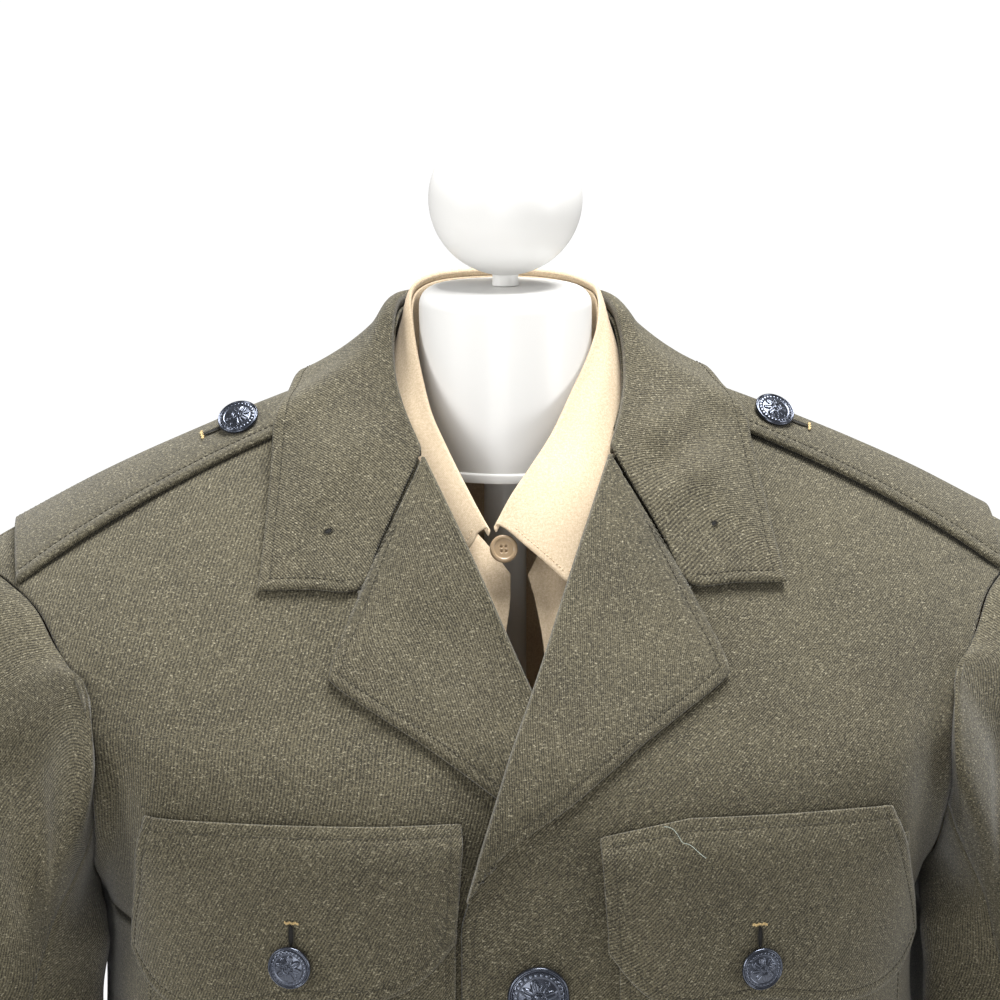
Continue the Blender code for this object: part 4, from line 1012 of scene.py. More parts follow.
def lapel_points(hand):
    """A lapel: ruled from the fold to its edge, lying a little off its front."""
    rows = []
    for share, edge_out, edge_z in zip(*LAPEL_EDGE.values()):
        roll_z = BREAK + LAPEL_FOOT + share * (ROLL_TOP - BREAK - LAPEL_SHORT)
        roll = np.array([float(read(ROLL_LINE, "out", roll_z)) + LAPEL_OUT, roll_z])
        lying = LAPEL_RISE
        if hand == RIGHT:
            lying -= 0.0008 * (1 - smooth((roll_z - 1.262) / 0.030))
        rows.append(turned_row(roll, np.array([edge_out, edge_z]), hand, lying))
    return np.array(rows)


LAPEL_CREASES = table(
    "u v u_end v_end width height",
    (0.000, 1.232, 0.045, 1.268, 0.010, 0.0010),
    (0.030, 1.285, 0.062, 1.300, 0.012, -0.0007),
)


def lapel_surface(hand):
    """The lapel's face with its stitched edge, gorge seam and slight creases."""
    coarse = lapel_points(hand)
    down = steps(0.155, 1.8 * MM, near=True, corners=[row_share(coarse, 0, LAPEL_TIP_ROW)])
    across = across_fold(coarse, steps(0.072, 1.8 * MM, far=True))
    points = finer(coarse, down, across, (LAPEL_TIP_ROW,))
    turned = stitched_edge(distance_to(points, [points[:, -1]]), inset=LAPEL_INSET)
    gorge = points[-1, FOLD_COLUMNS + 4:]
    seam = -0.0004 * np.exp(-(distance_to(points, [gorge]) / 0.0011) ** 2)
    body = crease(points[..., 0], points[..., 2], LAPEL_CREASES) * smooth((across - 0.1) / 0.2)[None]
    return points + grid_normals(points) * (turned + seam + body)[..., None]


def plain_material(name, colour, roughness, metallic=0.0, coat=0.0):
    """One colour all over, with the shader's own constants."""
    material = bpy.data.materials.new(name)
    material.use_nodes = True
    shader = material.node_tree.nodes["Principled BSDF"]
    shader.inputs["Base Color"].default_value = colour
    shader.inputs["Roughness"].default_value = roughness
    shader.inputs["Metallic"].default_value = metallic
    shader.inputs["Coat Weight"].default_value = coat
    return material


THREAD = plain_material("olive_thread", linear(50, 46, 33), 0.8)


def lines_from(points, side):
    """The grid's lines in order, from one side inwards."""
    columns = np.swapaxes(points, 0, 1)
    return {"first_row": points, "last_row": points[::-1],
            "first_column": columns, "last_column": columns[::-1]}[side]


def inset_path(points, side, inset, others=()):
    """A line on the surface a given distance in from one edge, clear of the other edges."""
    lines = lines_from(points, side)
    edge = lines[0]
    tangent = np.gradient(edge, axis=0)
    tangent /= np.linalg.norm(tangent, axis=1, keepdims=True)
    away = lines - edge
    across = np.linalg.norm(away - (away * tangent).sum(-1, keepdims=True) * tangent, axis=-1)
    path = []
    for column in range(lines.shape[1]):
        cell = int(np.argmax(across[:, column] >= inset))
        if cell == 0:
            continue
        low, high = across[cell - 1, column], across[cell, column]
        share = (inset - low) / (high - low)
        path.append(lines[cell - 1, column] * (1 - share) + lines[cell, column] * share)
    path = np.array(path)
    for other in others:
        clear = np.sqrt(((path[:, None] - other[None]) ** 2).sum(-1)).min(1) >= inset * 0.98
        path = path[clear]
    return path


def stitch_mesh(name, paths, normals_from, pitch=2.6 * MM, thick=0.26 * MM):
    """Running stitches: short six-sided beads along each path, a gap between one and the next."""
    centres, alongs = [], []
    for path in paths:
        if len(path) < 2:
            continue
        gaps = np.linalg.norm(np.diff(path, axis=0), axis=1)
        length = added_up(gaps)
        at = np.arange(pitch / 2, length[-1], pitch)
        spots = np.stack([np.interp(at, length, path[:, axis]) for axis in range(3)], -1)
        ahead = np.stack([np.interp(at + 0.4 * MM, length, path[:, axis]) for axis in range(3)], -1)
        behind = np.stack([np.interp(at - 0.4 * MM, length, path[:, axis]) for axis in range(3)], -1)
        direction = ahead - behind
        centres.append(spots)
        alongs.append(direction / np.maximum(np.linalg.norm(direction, axis=1, keepdims=True), 1e-12))
    centres, alongs = np.concatenate(centres), np.concatenate(alongs)
    surface, normals = normals_from
    flat, flat_normals = surface.reshape(-1, 3), normals.reshape(-1, 3)
    nearest = np.empty(len(centres), int)
    at_once = 200
    for start in range(0, len(centres), at_once):
        part = slice(start, start + at_once)
        nearest[part] = ((centres[part, None] - flat[None]) ** 2).sum(-1).argmin(1)
    up = flat_normals[nearest]
    side = np.cross(up, alongs)
    side /= np.maximum(np.linalg.norm(side, axis=1, keepdims=True), 1e-12)
    sides = 6
    angle = np.arange(sides) * math.pi / (sides / 2)
    ends = np.array([-0.36, -0.28, 0.0, 0.28, 0.36]) * pitch
    girth = np.array([0.25, 0.85, 1.0, 0.85, 0.25]) * thick
    lift = np.array([-0.10, 0.05, 0.22, 0.05, -0.10]) * MM
    ring = (side[:, None, None] * np.cos(angle)[None, None, :, None]
            + up[:, None, None] * np.sin(angle)[None, None, :, None]) * girth[None, :, None, None]
    core = centres[:, None] + alongs[:, None] * ends[None, :, None] + up[:, None] * lift[None, :, None]
    beads = core[:, :, None] + ring
    index = np.arange(len(centres) * len(ends) * sides).reshape(len(centres), len(ends), sides)
    around = np.roll(index, -1, 2)
    faces = np.stack([index[:, :-1], around[:, :-1], around[:, 1:], index[:, 1:]], -1).reshape(-1, 4)
    caps = np.concatenate([index[:, 0, ::-1], index[:, -1]])
    mesh = bpy.data.meshes.new(name)
    mesh.from_pydata(beads.reshape(-1, 3).tolist(), [], faces.tolist() + caps.tolist())
    mesh.shade_smooth()
    return mesh


def sew(name, points, lines, normals, material=THREAD, pitch=2.5 * MM,
        thick=0.24 * MM):
    """Stitches along lines on a surface, as one piece."""
    return finish_piece(name, stitch_mesh(name, lines, (points, normals), pitch, thick), material)


lapels = {}
for hand in (LEFT, RIGHT):
    word = HAND_NAMES[hand]
    lapels[hand] = mirror(lapel_surface(hand), hand)
    points = lapels[hand]
    cloth_piece(f"wool_lapel_{word}", points, TURNED_WALL, **COAT_SLOT, nodes=[f"lapel_{word}"],
                cut=(0.080, 0.205, 0.53), held="folded", rests_on=[f"wool_front_{word}"],
                mirrored=hand == RIGHT, turn=math.radians(-45 if hand == LEFT else 20))
    path = inset_path(points, "last_column", LAPEL_INSET)
    sew(f"lapel_stitches_{word}", points, [path], grid_normals(points) * hand)

# Collar
# The fall turns down over a stand sewn to the neck. Its ends make the notches, and its
# free edge is stitched like the lapels'. The stand is hidden but for its inside.
COLLAR_FOLD = table(
    "station x y z up_y up_z",
    (0, 0.0380, -0.0575, 1.3515, -0.90, 0.45),
    (1, 0.0446, -0.0430, 1.3665, -0.75, 0.66),
    (2, 0.0488, -0.0270, 1.3805, -0.50, 0.87),
    (3, 0.0496, -0.0120, 1.3950, -0.25, 0.97),
    (4, 0.0480, 0.0020, 1.4070, 0.00, 1.00),
    (5, 0.0442, 0.0200, 1.4110, 0.05, 1.00),
    (6, 0.0372, 0.0370, 1.4110, 0.10, 1.00),
    (7, 0.0262, 0.0500, 1.4100, 0.10, 1.00),
    (8, 0.0132, 0.0580, 1.4090, 0.10, 1.00),
    (9, 0.0000, 0.0610, 1.4085, 0.10, 1.00),
)
COLLAR_EDGE = table(
    "station x z face off sag",
    (0, 0.1077, 1.3028, FRONT, 0.0036, 0.0010),
    (1, 0.1046, 1.3200, FRONT, 0.0040, 0.0030),
    (2, 0.1010, 1.3380, FRONT, 0.0055, 0.0020),
    (3, 0.0950, 1.3590, FRONT, 0.0115, -0.0005),
    (4, 0.0835, 1.3700, BACK, 0.0110, -0.0030),
    (5, 0.0745, 1.3680, BACK, 0.0080, -0.0040),
    (6, 0.0600, 1.3600, BACK, 0.0055, -0.0020),
    (7, 0.0410, 1.3530, BACK, 0.0040, -0.0010),
    (8, 0.0205, 1.3495, BACK, 0.0038, 0.0),
    (9, 0.0000, 1.3485, BACK, 0.0038, 0.0),
)
STAND_FOOT = table(
    "station x z",
    (0.5, 0.0400, 1.3540),
    (1, 0.0430, 1.3585),
    (2, 0.0490, 1.3660),
    (3, 0.0535, 1.3720),
    (4, 0.0590, 1.3795),
    (5, 0.0545, 1.3770),
    (6, 0.0435, 1.3712),
    (7, 0.0300, 1.3668),
    (8, 0.0150, 1.3657),
    (9, 0.0000, 1.3657),
)
COLLAR_STATIONS = (0, 0.5, 1, 1.5, 2, 2.5, 3, 3.5, 4, 4.6, 5.3, 6, 7, 8, 9)
COLLAR_SHARES = (0.20, 0.40, 0.60, 0.80, 1.00)
NOTCH, COLLAR_GORGE = (0.0676, 1.3043), (0.0397, 1.3520)


def back_surface(x, z, out=0.0):
    """A point on the coat back's outer surface, moved out along its normal."""
    step = 0.0004
    slope_x = (COAT.depth(x + step, z, BACK) - COAT.depth(x - step, z, BACK)) / (2 * step)
    slope_z = (COAT.depth(x, z + step, BACK) - COAT.depth(x, z - step, BACK)) / (2 * step)
    normal = np.array([-slope_x, 1.0, -slope_z])
    normal /= np.linalg.norm(normal)
    return np.array([x, float(COAT.depth(x, z, BACK)), z]) + normal * out


def station_point(rows, station, prefix=""):
    """A point read at a station from a table's three columns of x, y and z."""
    return np.array([float(read(rows, prefix + axis, station, "station")) for axis in "xyz"])


def collar_frame(station):
    """The fold's point at a station, with its directions out from the neck and up."""
    point = station_point(COLLAR_FOLD, station)
    along = station_point(COLLAR_FOLD, min(station + 0.2, 9))
    along = along - station_point(COLLAR_FOLD, max(station - 0.2, 0))
    if station >= 9:
        along = np.array([-1.0, 0.0, 0.0])
    along /= np.linalg.norm(along)
    up = np.array([0.0, *(float(read(COLLAR_FOLD, key, station, "station")) for key in ("up_y", "up_z"))])
    up -= along * (up @ along)
    up /= np.linalg.norm(up)
    out = np.cross(up, along)
    if out @ np.array([point[0], point[1] - 0.005, 0.0]) < 0:
        out = -out
    return point, out, up


def collar_edge_point(station):
    """The collar's outer edge at a station, standing off the coat beneath it."""
    low = int(min(math.floor(station), 8))
    ends = []
    for row in (low, low + 1):
        x, z, off = (COLLAR_EDGE[key][row] for key in ("x", "z", "off"))
        if COLLAR_EDGE["face"][row] == FRONT:
            ends.append(front_surface(x, z, LEFT, off))
        elif z > COAT.crest(x) - 0.0005:
            ends.append(np.array([x, 0.0, float(COAT.crest(x)) + off]))
        else:
            ends.append(back_surface(x, z, off))
    mix = station - low
    return ends[0] * (1 - mix) + ends[1] * mix


def gorge_row():
    """The collar's first row: down the gorge seam to the notch, then out to its corner."""
    row = list(turned_row(np.array(COLLAR_GORGE), np.array(NOTCH), LEFT, LAPEL_RISE))
    corner = np.array([COLLAR_EDGE["x"][0], COLLAR_EDGE["z"][0]])
    for share in (0.5, 1.0):
        u, z = np.array(NOTCH) + (corner - np.array(NOTCH)) * share
        row.append(front_surface(u, z, LEFT, COLLAR_EDGE["off"][0]))
    return row


def collar_row(station):
    """The collar's row at a station: over the fold, then down to the outer edge with a sag."""
    if station == 0:
        return gorge_row()
    point, out, up = collar_frame(station)
    row = [point + out * step + up * rise for step, rise in zip(FOLD["out"], FOLD["up"])]
    edge = collar_edge_point(station)
    sag = float(read(COLLAR_EDGE, "sag", station, "station"))
    start = row[-1]
    for share in COLLAR_SHARES:
        row.append(start + (edge - start) * share + up * sag * 4 * share * (1 - share))
    return row


def unrolled(points, inner):
    """The flat pattern of a piece ruled along its rows, laid out strip by strip.

    Each strip's far corners lie at their true distances from its near corners; points
    between the inner and last column lie on the straight line that joins them.
    """
    start, end = points[:, inner], points[:, -1]
    flat_start, flat_end = [np.zeros(2)], [np.array([np.linalg.norm(end[0] - start[0]), 0.0])]

    def beyond(a, b, from_a, from_b):
        """The point at two distances from a and b, on the left of the line from a to b."""
        base = max(np.linalg.norm(b - a), 1e-9)
        along = (base ** 2 + from_a ** 2 - from_b ** 2) / (2 * base)
        off = math.sqrt(max(from_a ** 2 - along ** 2, 0.0))
        way = (b - a) / base
        return a + way * along + np.array([-way[1], way[0]]) * off

    for row in range(1, len(points)):
        a, b = flat_start[-1], flat_end[-1]
        corner = beyond(a, b, np.linalg.norm(end[row] - start[row - 1]),
                        np.linalg.norm(end[row] - end[row - 1]))
        flat_end.append(corner)
        flat_start.append(beyond(a, corner, np.linalg.norm(start[row] - start[row - 1]),
                                 np.linalg.norm(end[row] - start[row])))
    flat_start, flat_end = np.array(flat_start)[:, None], np.array(flat_end)[:, None]
    across = np.linalg.norm(np.diff(points, axis=1), axis=-1)
    length = np.concatenate([np.zeros((len(points), 1)), np.cumsum(across, 1)], 1)
    share = (length - length[:, [inner]]) / (length[:, -1:] - length[:, [inner]])
    return flat_start + (flat_end - flat_start) * share[..., None]


def whole_from_half(rows):
    """Rows from the wearer's left end to the middle, carried on to the right end."""
    half = np.array(rows)
    return np.concatenate([half, mirror(half[-2::-1], -1)])


COLLAR_CREASES = table(
    "u v u_end v_end width height",
    (0.048, 1.3580, 0.082, 1.3730, 0.0055, 0.0019),
    (0.052, 1.3470, 0.084, 1.3620, 0.0055, -0.0012),
    (0.053, 1.3320, 0.086, 1.3520, 0.0060, 0.0017),
    (-0.050, 1.3600, -0.085, 1.3540, 0.0090, 0.0008),
    (-0.055, 1.3300, -0.090, 1.3250, 0.0100, -0.0007),
)
COLLAR_SIDE = table(
    "u v u_end v_end width height",
    (0.030, 1.3950, 0.070, 1.3700, 0.010, 0.0012),
    (-0.030, 1.3950, -0.070, 1.3700, 0.010, 0.0010),
    (-0.020, 1.3700, 0.030, 1.3600, 0.009, -0.0008),
)
COLLAR_INSET, STAND_WALL = 4.6 * MM, 0.0012
coarse = whole_from_half([collar_row(station) for station in COLLAR_STATIONS])
down = steps(0.46, 2.6 * MM, near=True, far=True, corners=[0.5])
across = across_fold(coarse, steps(0.085, 2.0 * MM, far=True))
collar = finer(coarse, down, across)
notch_column = int(np.argmin(np.abs(across - row_share(coarse, 1, 6)))) + 1
ends = [collar[0, notch_column:], collar[-1, notch_column:]]
turned = stitched_edge(distance_to(collar, [collar[:, -1], *ends]), inset=COLLAR_INSET)
gorge = slice(FOLD_COLUMNS + 2, notch_column)
seams = distance_to(collar, [collar[0, gorge], collar[-1, gorge]])
front_side = (collar[..., 1] < 0.012) * smooth((across - 0.12) / 0.2)[None]
body = crease(collar[..., 0], collar[..., 2], COLLAR_CREASES) * front_side
side_share = (1 - front_side) * smooth((across - 0.2) / 0.3)[None]
body = body + crease(collar[..., 0], collar[..., 2], COLLAR_SIDE) * side_share
lift = turned - 0.0005 * np.exp(-(seams / 0.0012) ** 2) + body
collar = collar + grid_normals(collar) * lift[..., None]
cloth_piece("wool_collar", collar, TURNED_WALL, **COAT_SLOT, nodes=["collar_fall"], cut=(0.400, 0.140, 0.48),
            held="folded", rests_on=["wool_collar_stand", "wool_front_left", "wool_front_right"],
            pattern=unrolled(collar, FOLD_COLUMNS - 1))
paths = [inset_path(collar, "last_column", COLLAR_INSET, ends)]
for side in ("first_row", "last_row"):
    path = inset_path(collar, side, COLLAR_INSET, [collar[:, -1]])
    outer = np.abs(path[:, 0]) > NOTCH[0] + 0.002
    paths.append(path[outer])
sew("collar_stitches", collar, paths, grid_normals(collar))
rows = []
for station in COLLAR_STATIONS[2:]:
    point, out, up = collar_frame(station)
    top = point + out * FOLD["out"][0] + up * (FOLD["up"][0] - 2 * SEAM)
    x, z = (float(read(STAND_FOOT, key, station, "station")) for key in ("x", "z"))
    face = FRONT if station < 4 else BACK
    foot = np.array([x, float(COAT.depth(x, min(z, float(COAT.crest(x))), face)), z])
    rows.append([foot, foot * 0.5 + top * 0.5 - out * 0.0008, top])
stand = whole_from_half(rows)
stand = finer(stand, steps(0.30, 4 * MM), steps(0.035, 3 * MM))
cloth_piece("wool_collar_stand", stand, STAND_WALL, **COAT_SLOT, nodes=["collar_stand"],
            cut=(0.287, 0.038, 0.62), held="folded", rests_on=["wool_back_left", "wool_back_right"],
            mirrored=True)

# Shoulder straps
# Doubled straps sewn in with the sleeve, stitched along both edges, buttoned near the collar.
STRAP = table(
    "out forward width",
    (0.070, 0.000, 0.044),
    (0.095, 0.001, 0.046),
    (0.125, 0.004, 0.048),
    (0.165, 0.0105, 0.050),
    (0.206, 0.0170, 0.052),
)
STRAP_OFF, STRAP_WALL = 0.0032, 0.0023
STRAP_STATIONS = (0.070, 0.095, 0.120, 0.145, 0.170, 0.190, 0.2055)
STRAP_BUTTON_OUT, STRAP_BUTTON_FORWARD = 0.1115, 0.009
STRAP_BUTTON_LIFT, STRAP_BUTTON_TILT = 0.0008, 0.35
STRAP_LENGTH, STRAP_WIDTH, STRAP_INSET = 0.150, 0.050, 4.8 * MM


def strap_points():
    """The strap's rows over the shoulder, moved off the coat."""
    rows = []
    for out in STRAP_STATIONS:
        forward, width = (float(read(STRAP, key, out, "out")) for key in ("forward", "width"))
        arcs = -forward + width * np.linspace(0.5, -0.5, 9)
        rows.append(COAT.over_shoulder(out, arcs))
    points = np.array(rows)
    return points + grid_normals(points) * STRAP_OFF


coarse = strap_points()
down = steps(STRAP_LENGTH, 2.4 * MM)
across = steps(STRAP_WIDTH, 1.8 * MM, near=True, far=True)
strap = finer(coarse, down, across)
lift = stitched_edge(distance_to(strap, [strap[:, 0], strap[:, -1]]), inset=STRAP_INSET)
lift = lift + 0.0009 * np.sin(math.pi * across)[None]
lift = lift + ripple(down[:, None] * STRAP_LENGTH, across[None] * STRAP_WIDTH, 5, 0.08, 0.0004)
strap = strap + grid_normals(strap) * lift[..., None]
straps = {}
for hand in (LEFT, RIGHT):
    word = HAND_NAMES[hand]
    straps[hand] = mirror(strap, hand)
    cloth_piece(f"wool_strap_{word}", straps[hand], STRAP_WALL, **COAT_SLOT, nodes=[f"shoulder_strap_{word}"],
                cut=(0.055, 0.154, 0.90), held="stretched",
                rests_on=[f"wool_front_{word}", f"wool_back_{word}"],
                mirrored=hand == RIGHT, turn=math.radians(90))
    paths = [inset_path(straps[hand], side, STRAP_INSET) for side in ("first_column", "last_column")]
    sew(f"strap_stitches_{word}", straps[hand], paths, grid_normals(straps[hand]) * hand)

# Breast pockets and flaps
# Patch pockets with a box pleat, sewn on near their edge, under scalloped flaps that
# are stitched all round and held by a button at the point.
POCKET_INNER, POCKET_OUTER, POCKET_TOP, POCKET_BOTTOM = 0.0330, 0.1540, 1.2060, 1.0560
POCKET_WALL, POCKET_INSET, FLAP_INSET = 0.0015, 4.0 * MM, 4.6 * MM
POCKET_LENGTH, CORNER_SHARE, CORNER_RISE = 0.150, 0.20, 0.012
POCKET_ACROSS = table(
    "share height",
    (0.00, 0.0028),
    (0.16, 0.0030),
    (0.330, 0.0030),
    (0.345, 0.0046),
    (0.500, 0.0047),
    (0.655, 0.0046),
    (0.670, 0.0030),
    (0.84, 0.0030),
    (1.00, 0.0028),
)
FLAP_TOP = {
    LEFT: table("share out height", (0, 0.0250, 1.2140), (0.33, 0.0610, 1.2205), (1, 0.1445, 1.2200)),
    RIGHT: table("share out height", (0, 0.0308, 1.2192), (0.33, 0.0700, 1.2196), (1, 0.1548, 1.2200)),
}
FLAP_BOTTOM = {
    LEFT: table(
        "share out height",
        (0, 0.0282, 1.1680),
        (0.05, 0.0345, 1.1590),
        (0.50, 0.0897, 1.1455),
        (0.95, 0.1530, 1.1515),
        (1, 0.1585, 1.1600),
    ),
    RIGHT: table(
        "share out height",
        (0, 0.0340, 1.1720),
        (0.05, 0.0400, 1.1645),
        (0.50, 0.0957, 1.1485),
        (0.95, 0.1525, 1.1510),
        (1, 0.1580, 1.1600),
    ),
}
FLAP_ROWS = table("share height", (0, 0.0034), (0.14, 0.0070), (0.45, 0.0074), (1, 0.0072))


def pocket_surface(hand):
    """The pocket over its front: the pleat's steps are the table's heights above the wool."""
    share = steps(POCKET_OUTER - POCKET_INNER, 2.4 * MM, near=True, far=True)
    share = np.unique(np.concatenate([share, np.linspace(0.325, 0.350, 9), np.linspace(0.650, 0.675, 9)]))
    u = POCKET_INNER + (POCKET_OUTER - POCKET_INNER) * share
    height = np.interp(share, POCKET_ACROSS["share"], POCKET_ACROSS["height"])
    corner = np.clip(np.abs(share - 0.5) * 2 - (1 - CORNER_SHARE), 0, 1) / CORNER_SHARE
    foot = POCKET_BOTTOM + CORNER_RISE * (1 - np.sqrt(1 - np.minimum(corner, 1) ** 2 * 0.98))
    down = steps(POCKET_LENGTH, 3.0 * MM, near=True)[:, None]
    z = foot[None] + (POCKET_TOP - foot[None]) * down
    u = np.broadcast_to(u[None], z.shape)
    points = front_surface(u, z, hand, height[None] + front_folds(u, z, hand))
    free = [points[:, 0], points[:, -1], points[0]]
    lift = stitched_edge(distance_to(points, free), inset=POCKET_INSET)
    return points + grid_normals(points) * lift[..., None]


def flap_surface(hand):
    """The flap: straight lines from its top edge to its scalloped lower edge."""
    share = steps(0.125, 1.9 * MM, near=True, far=True)
    down = steps(0.068, 1.9 * MM, near=True, far=True)[::-1]
    top, bottom = FLAP_TOP[hand], FLAP_BOTTOM[hand]
    edges = []
    for key in ("out", "height"):
        high = np.interp(share, top["share"], top[key])
        low = read(bottom, key, share, "share")
        edges.append(high[None] + (low - high)[None] * down[:, None])
    out = read(FLAP_ROWS, "height", down, "share")[:, None] + front_folds(edges[0], edges[1], hand)
    points = front_surface(edges[0], edges[1], hand, out)
    free = [points[:, 0], points[:, -1], points[0]]
    lift = stitched_edge(distance_to(points, free), inset=FLAP_INSET)
    lift = lift + stitched_edge(distance_to(points, [points[-1]]), inset=FLAP_INSET, roll=0.0)
    return points + grid_normals(points) * lift[..., None]


def sew_edges(name, points, hand, inset, lines):
    """Stitches in from some edges, each line clear of the edges that are named with it."""
    paths = []
    for side, others in lines.items():
        clear_of = [lines_from(points, other)[0] for other in others]
        paths.append(inset_path(points, side, inset, clear_of))
    sew(name, points, paths, grid_normals(points) * hand)


FLAP_LINES = {
    "first_row": ("first_column", "last_column"),
    "first_column": ("last_column", "first_row"),
    "last_column": ("first_column", "first_row"),
    "last_row": ("first_column", "last_column", "first_row"),
}
POCKET_LINES = {
    "first_row": ("first_column", "last_column"),
    "first_column": ("first_row",),
    "last_column": ("first_row",),
}
flaps = {}
for hand in (LEFT, RIGHT):
    word = HAND_NAMES[hand]
    pocket = mirror(pocket_surface(hand), hand)
    flaps[hand] = mirror(flap_surface(hand), hand)
    cloth_piece(f"wool_pocket_{word}", pocket, POCKET_WALL, **COAT_SLOT, nodes=[f"pocket_{word}"],
                cut=(0.151, 0.152, 0.925), held="laid", rests_on=[f"wool_front_{word}"],
                mirrored=hand == RIGHT)
    cloth_piece(f"wool_flap_{word}", flaps[hand], POCKET_WALL, **COAT_SLOT, nodes=[f"pocket_flap_{word}"],
                cut=(0.145, 0.086, 0.86), held="laid", rests_on=[f"wool_front_{word}", f"wool_pocket_{word}"],
                mirrored=hand == RIGHT)
    sew_edges(f"flap_stitches_{word}", flaps[hand], hand, FLAP_INSET, FLAP_LINES)
    sew_edges(f"pocket_stitches_{word}", pocket, hand, POCKET_INSET, POCKET_LINES)
for hand in (LEFT, RIGHT):
    front = coat_fronts[hand]
    edge_path = inset_path(front, "first_column", 4.6 * MM)
    edge_path = edge_path[edge_path[:, 2] < BREAK - 0.004]
    sew(f"front_stitches_{HAND_NAMES[hand]}", front, [edge_path], grid_normals(front) * hand)

# Buttons
# Cast metal with a dark gunmetal finish: a domed face with a raised rim, a ring of
# beads and a plain rosette, on a short shank.
BUTTON_RIM = table(
    "radius height",
    (0.00, 6.4),
    (0.30, 6.2),
    (0.60, 5.5),
    (0.80, 4.8),
    (0.90, 4.45),
    (1.00, 4.0),
)
BUTTON_UNDER = (
    (1.0, 3.9),
    (1.0, 3.2),
    (0.985, 2.95),
    (0.95, 2.8),
    (0.26, 2.8),
    (0.26, 0.4),
    (0.02, 0.4),
)
FRONT_BUTTON_RADIUS, SMALL_BUTTON_RADIUS = 0.0125, 0.0088
FRONT_BUTTON_HEIGHTS = (1.150, 1.040, 0.930, 0.820)
POCKET_BUTTONS = {LEFT: (0.0878, 1.1595), RIGHT: (0.0963, 1.1640)}


def button_face(r, a):
    """Dome plus rim, beads and an eight-petalled rosette, in millimetres for a 25 mm button."""
    dome = np.interp(r, BUTTON_RIM["radius"], BUTTON_RIM["height"])
    rim = 0.75 * np.exp(-((r - 0.950) / 0.034) ** 2) - 0.45 * np.exp(-((r - 0.875) / 0.035) ** 2)
    beads = 0.50 * np.exp(-((r - 0.785) / 0.038) ** 2) * (0.5 + 0.5 * np.cos(28 * a)) ** 2
    petal_edge = 0.36 + 0.28 * np.abs(np.cos(4 * a))
    petals = 0.85 * smooth((petal_edge - r) / 0.08) * smooth((r - 0.17) / 0.06)
    vein_length = smooth((0.62 - r) / 0.1) * smooth((r - 0.17) / 0.05)
    veins = -0.45 * np.exp(-(np.sin(4 * a) / 0.25) ** 2) * vein_length
    heart = 0.80 * smooth((0.15 - r) / 0.05)
    return dome + rim + beads + petals + veins + heart - 0.45 * smooth((0.70 - r) / 0.05)


def polar_mesh(name, radius, height, at, normal, twist=0.0):
    """A closed turned shape from rings of radius and height grids, stood on a normal."""
    rings, around = radius.shape
    angle = np.linspace(0, 2 * math.pi, around, endpoint=False)[None] + twist
    normal = np.asarray(normal, float) / np.linalg.norm(normal)
    side = np.cross([0, 0, 1.0], normal)
    side = side / np.linalg.norm(side) if np.linalg.norm(side) > 1e-3 else np.array([1.0, 0, 0])
    up = np.cross(normal, side)
    points = (np.asarray(at) + (radius * np.cos(angle))[..., None] * side
              + (radius * np.sin(angle))[..., None] * up + height[..., None] * normal)
    index = np.arange(rings * around).reshape(rings, around)
    index = np.concatenate([index, index[:, :1]], 1)
    quads = np.stack([index[:-1, :-1], index[1:, :-1], index[1:, 1:], index[:-1, 1:]], -1).reshape(-1, 4)
    poles = points[[0, -1]].mean(1)
    first, last = rings * around, rings * around + 1
    caps = [[first, a, b] for a, b in zip(index[0, :-1], index[0, 1:])]
    caps += [[last, b, a] for a, b in zip(index[-1, :-1], index[-1, 1:])]
    mesh = bpy.data.meshes.new(name)
    vertices = np.concatenate([points.reshape(-1, 3), poles])
    mesh.from_pydata(vertices.tolist(), [], quads.tolist() + [[int(i) for i in cap] for cap in caps])
    mesh.shade_smooth()
    return mesh


def cast_button(name, at, normal, radius, nodes, twist):
    """A button: its face, then its rim, underside and shank, all scaled with its radius."""
    size = radius / FRONT_BUTTON_RADIUS
    around = 128
    angle = np.linspace(0, 2 * math.pi, around, endpoint=False)[None]
    r = np.concatenate([np.linspace(0.02, 0.92, 38), [0.95, 0.975, 0.992]])[:, None]
    face = button_face(r, angle) + np.zeros((1, around))
    under = np.array(BUTTON_UNDER)
    radii = np.concatenate([np.repeat(r, around, 1), np.repeat(under[:, :1], around, 1)])
    heights = np.concatenate([face, np.repeat(under[:, 1:], around, 1)])
    heights = (0.4 + (heights - 0.4) * size) * MM
    mesh = polar_mesh(name, radii * radius, heights, at, normal, twist)
    return finish_piece(name, mesh, GUNMETAL, nodes)


def gunmetal_material():
    """Dark blue-grey metal, cloudy in colour and roughness, with fine marks of handling."""
    material = plain_material("gunmetal", linear(60, 63, 72), 0.28, 0.9, 0.25)
    tree = material.node_tree
    shader = tree.nodes["Principled BSDF"]
    where = node(tree, "TexCoord")
    cloudy = node(tree, "TexNoise", {"Scale": 180.0, "Detail": 2.0}, {"Vector": where.outputs["Object"]})
    marks = node(tree, "TexNoise", {"Scale": 2600.0, "Detail": 2.0}, {"Vector": where.outputs["Object"]})
    colour = mix_colour(tree, cloudy.outputs[0], linear(58, 61, 70), linear(82, 87, 98))
    tree.links.new(colour, shader.inputs["Base Color"])
    rough = maths(tree, "ADD", maths(tree, "MULTIPLY", cloudy.outputs[0], 0.12), 0.18)
    tree.links.new(rough, shader.inputs["Roughness"])
    relief = node(tree, "Bump", {"Strength": 0.08, "Distance": 0.0001}, {"Height": marks.outputs[0]})
    tree.links.new(relief.outputs[0], shader.inputs["Normal"])
    return material


GUNMETAL = gunmetal_material()


def tangent_normal(points, centre):
    """The direction off the plane through a centre and two points beside it."""
    normal = np.cross(points[0] - centre, points[1] - centre)
    return normal / np.linalg.norm(normal)


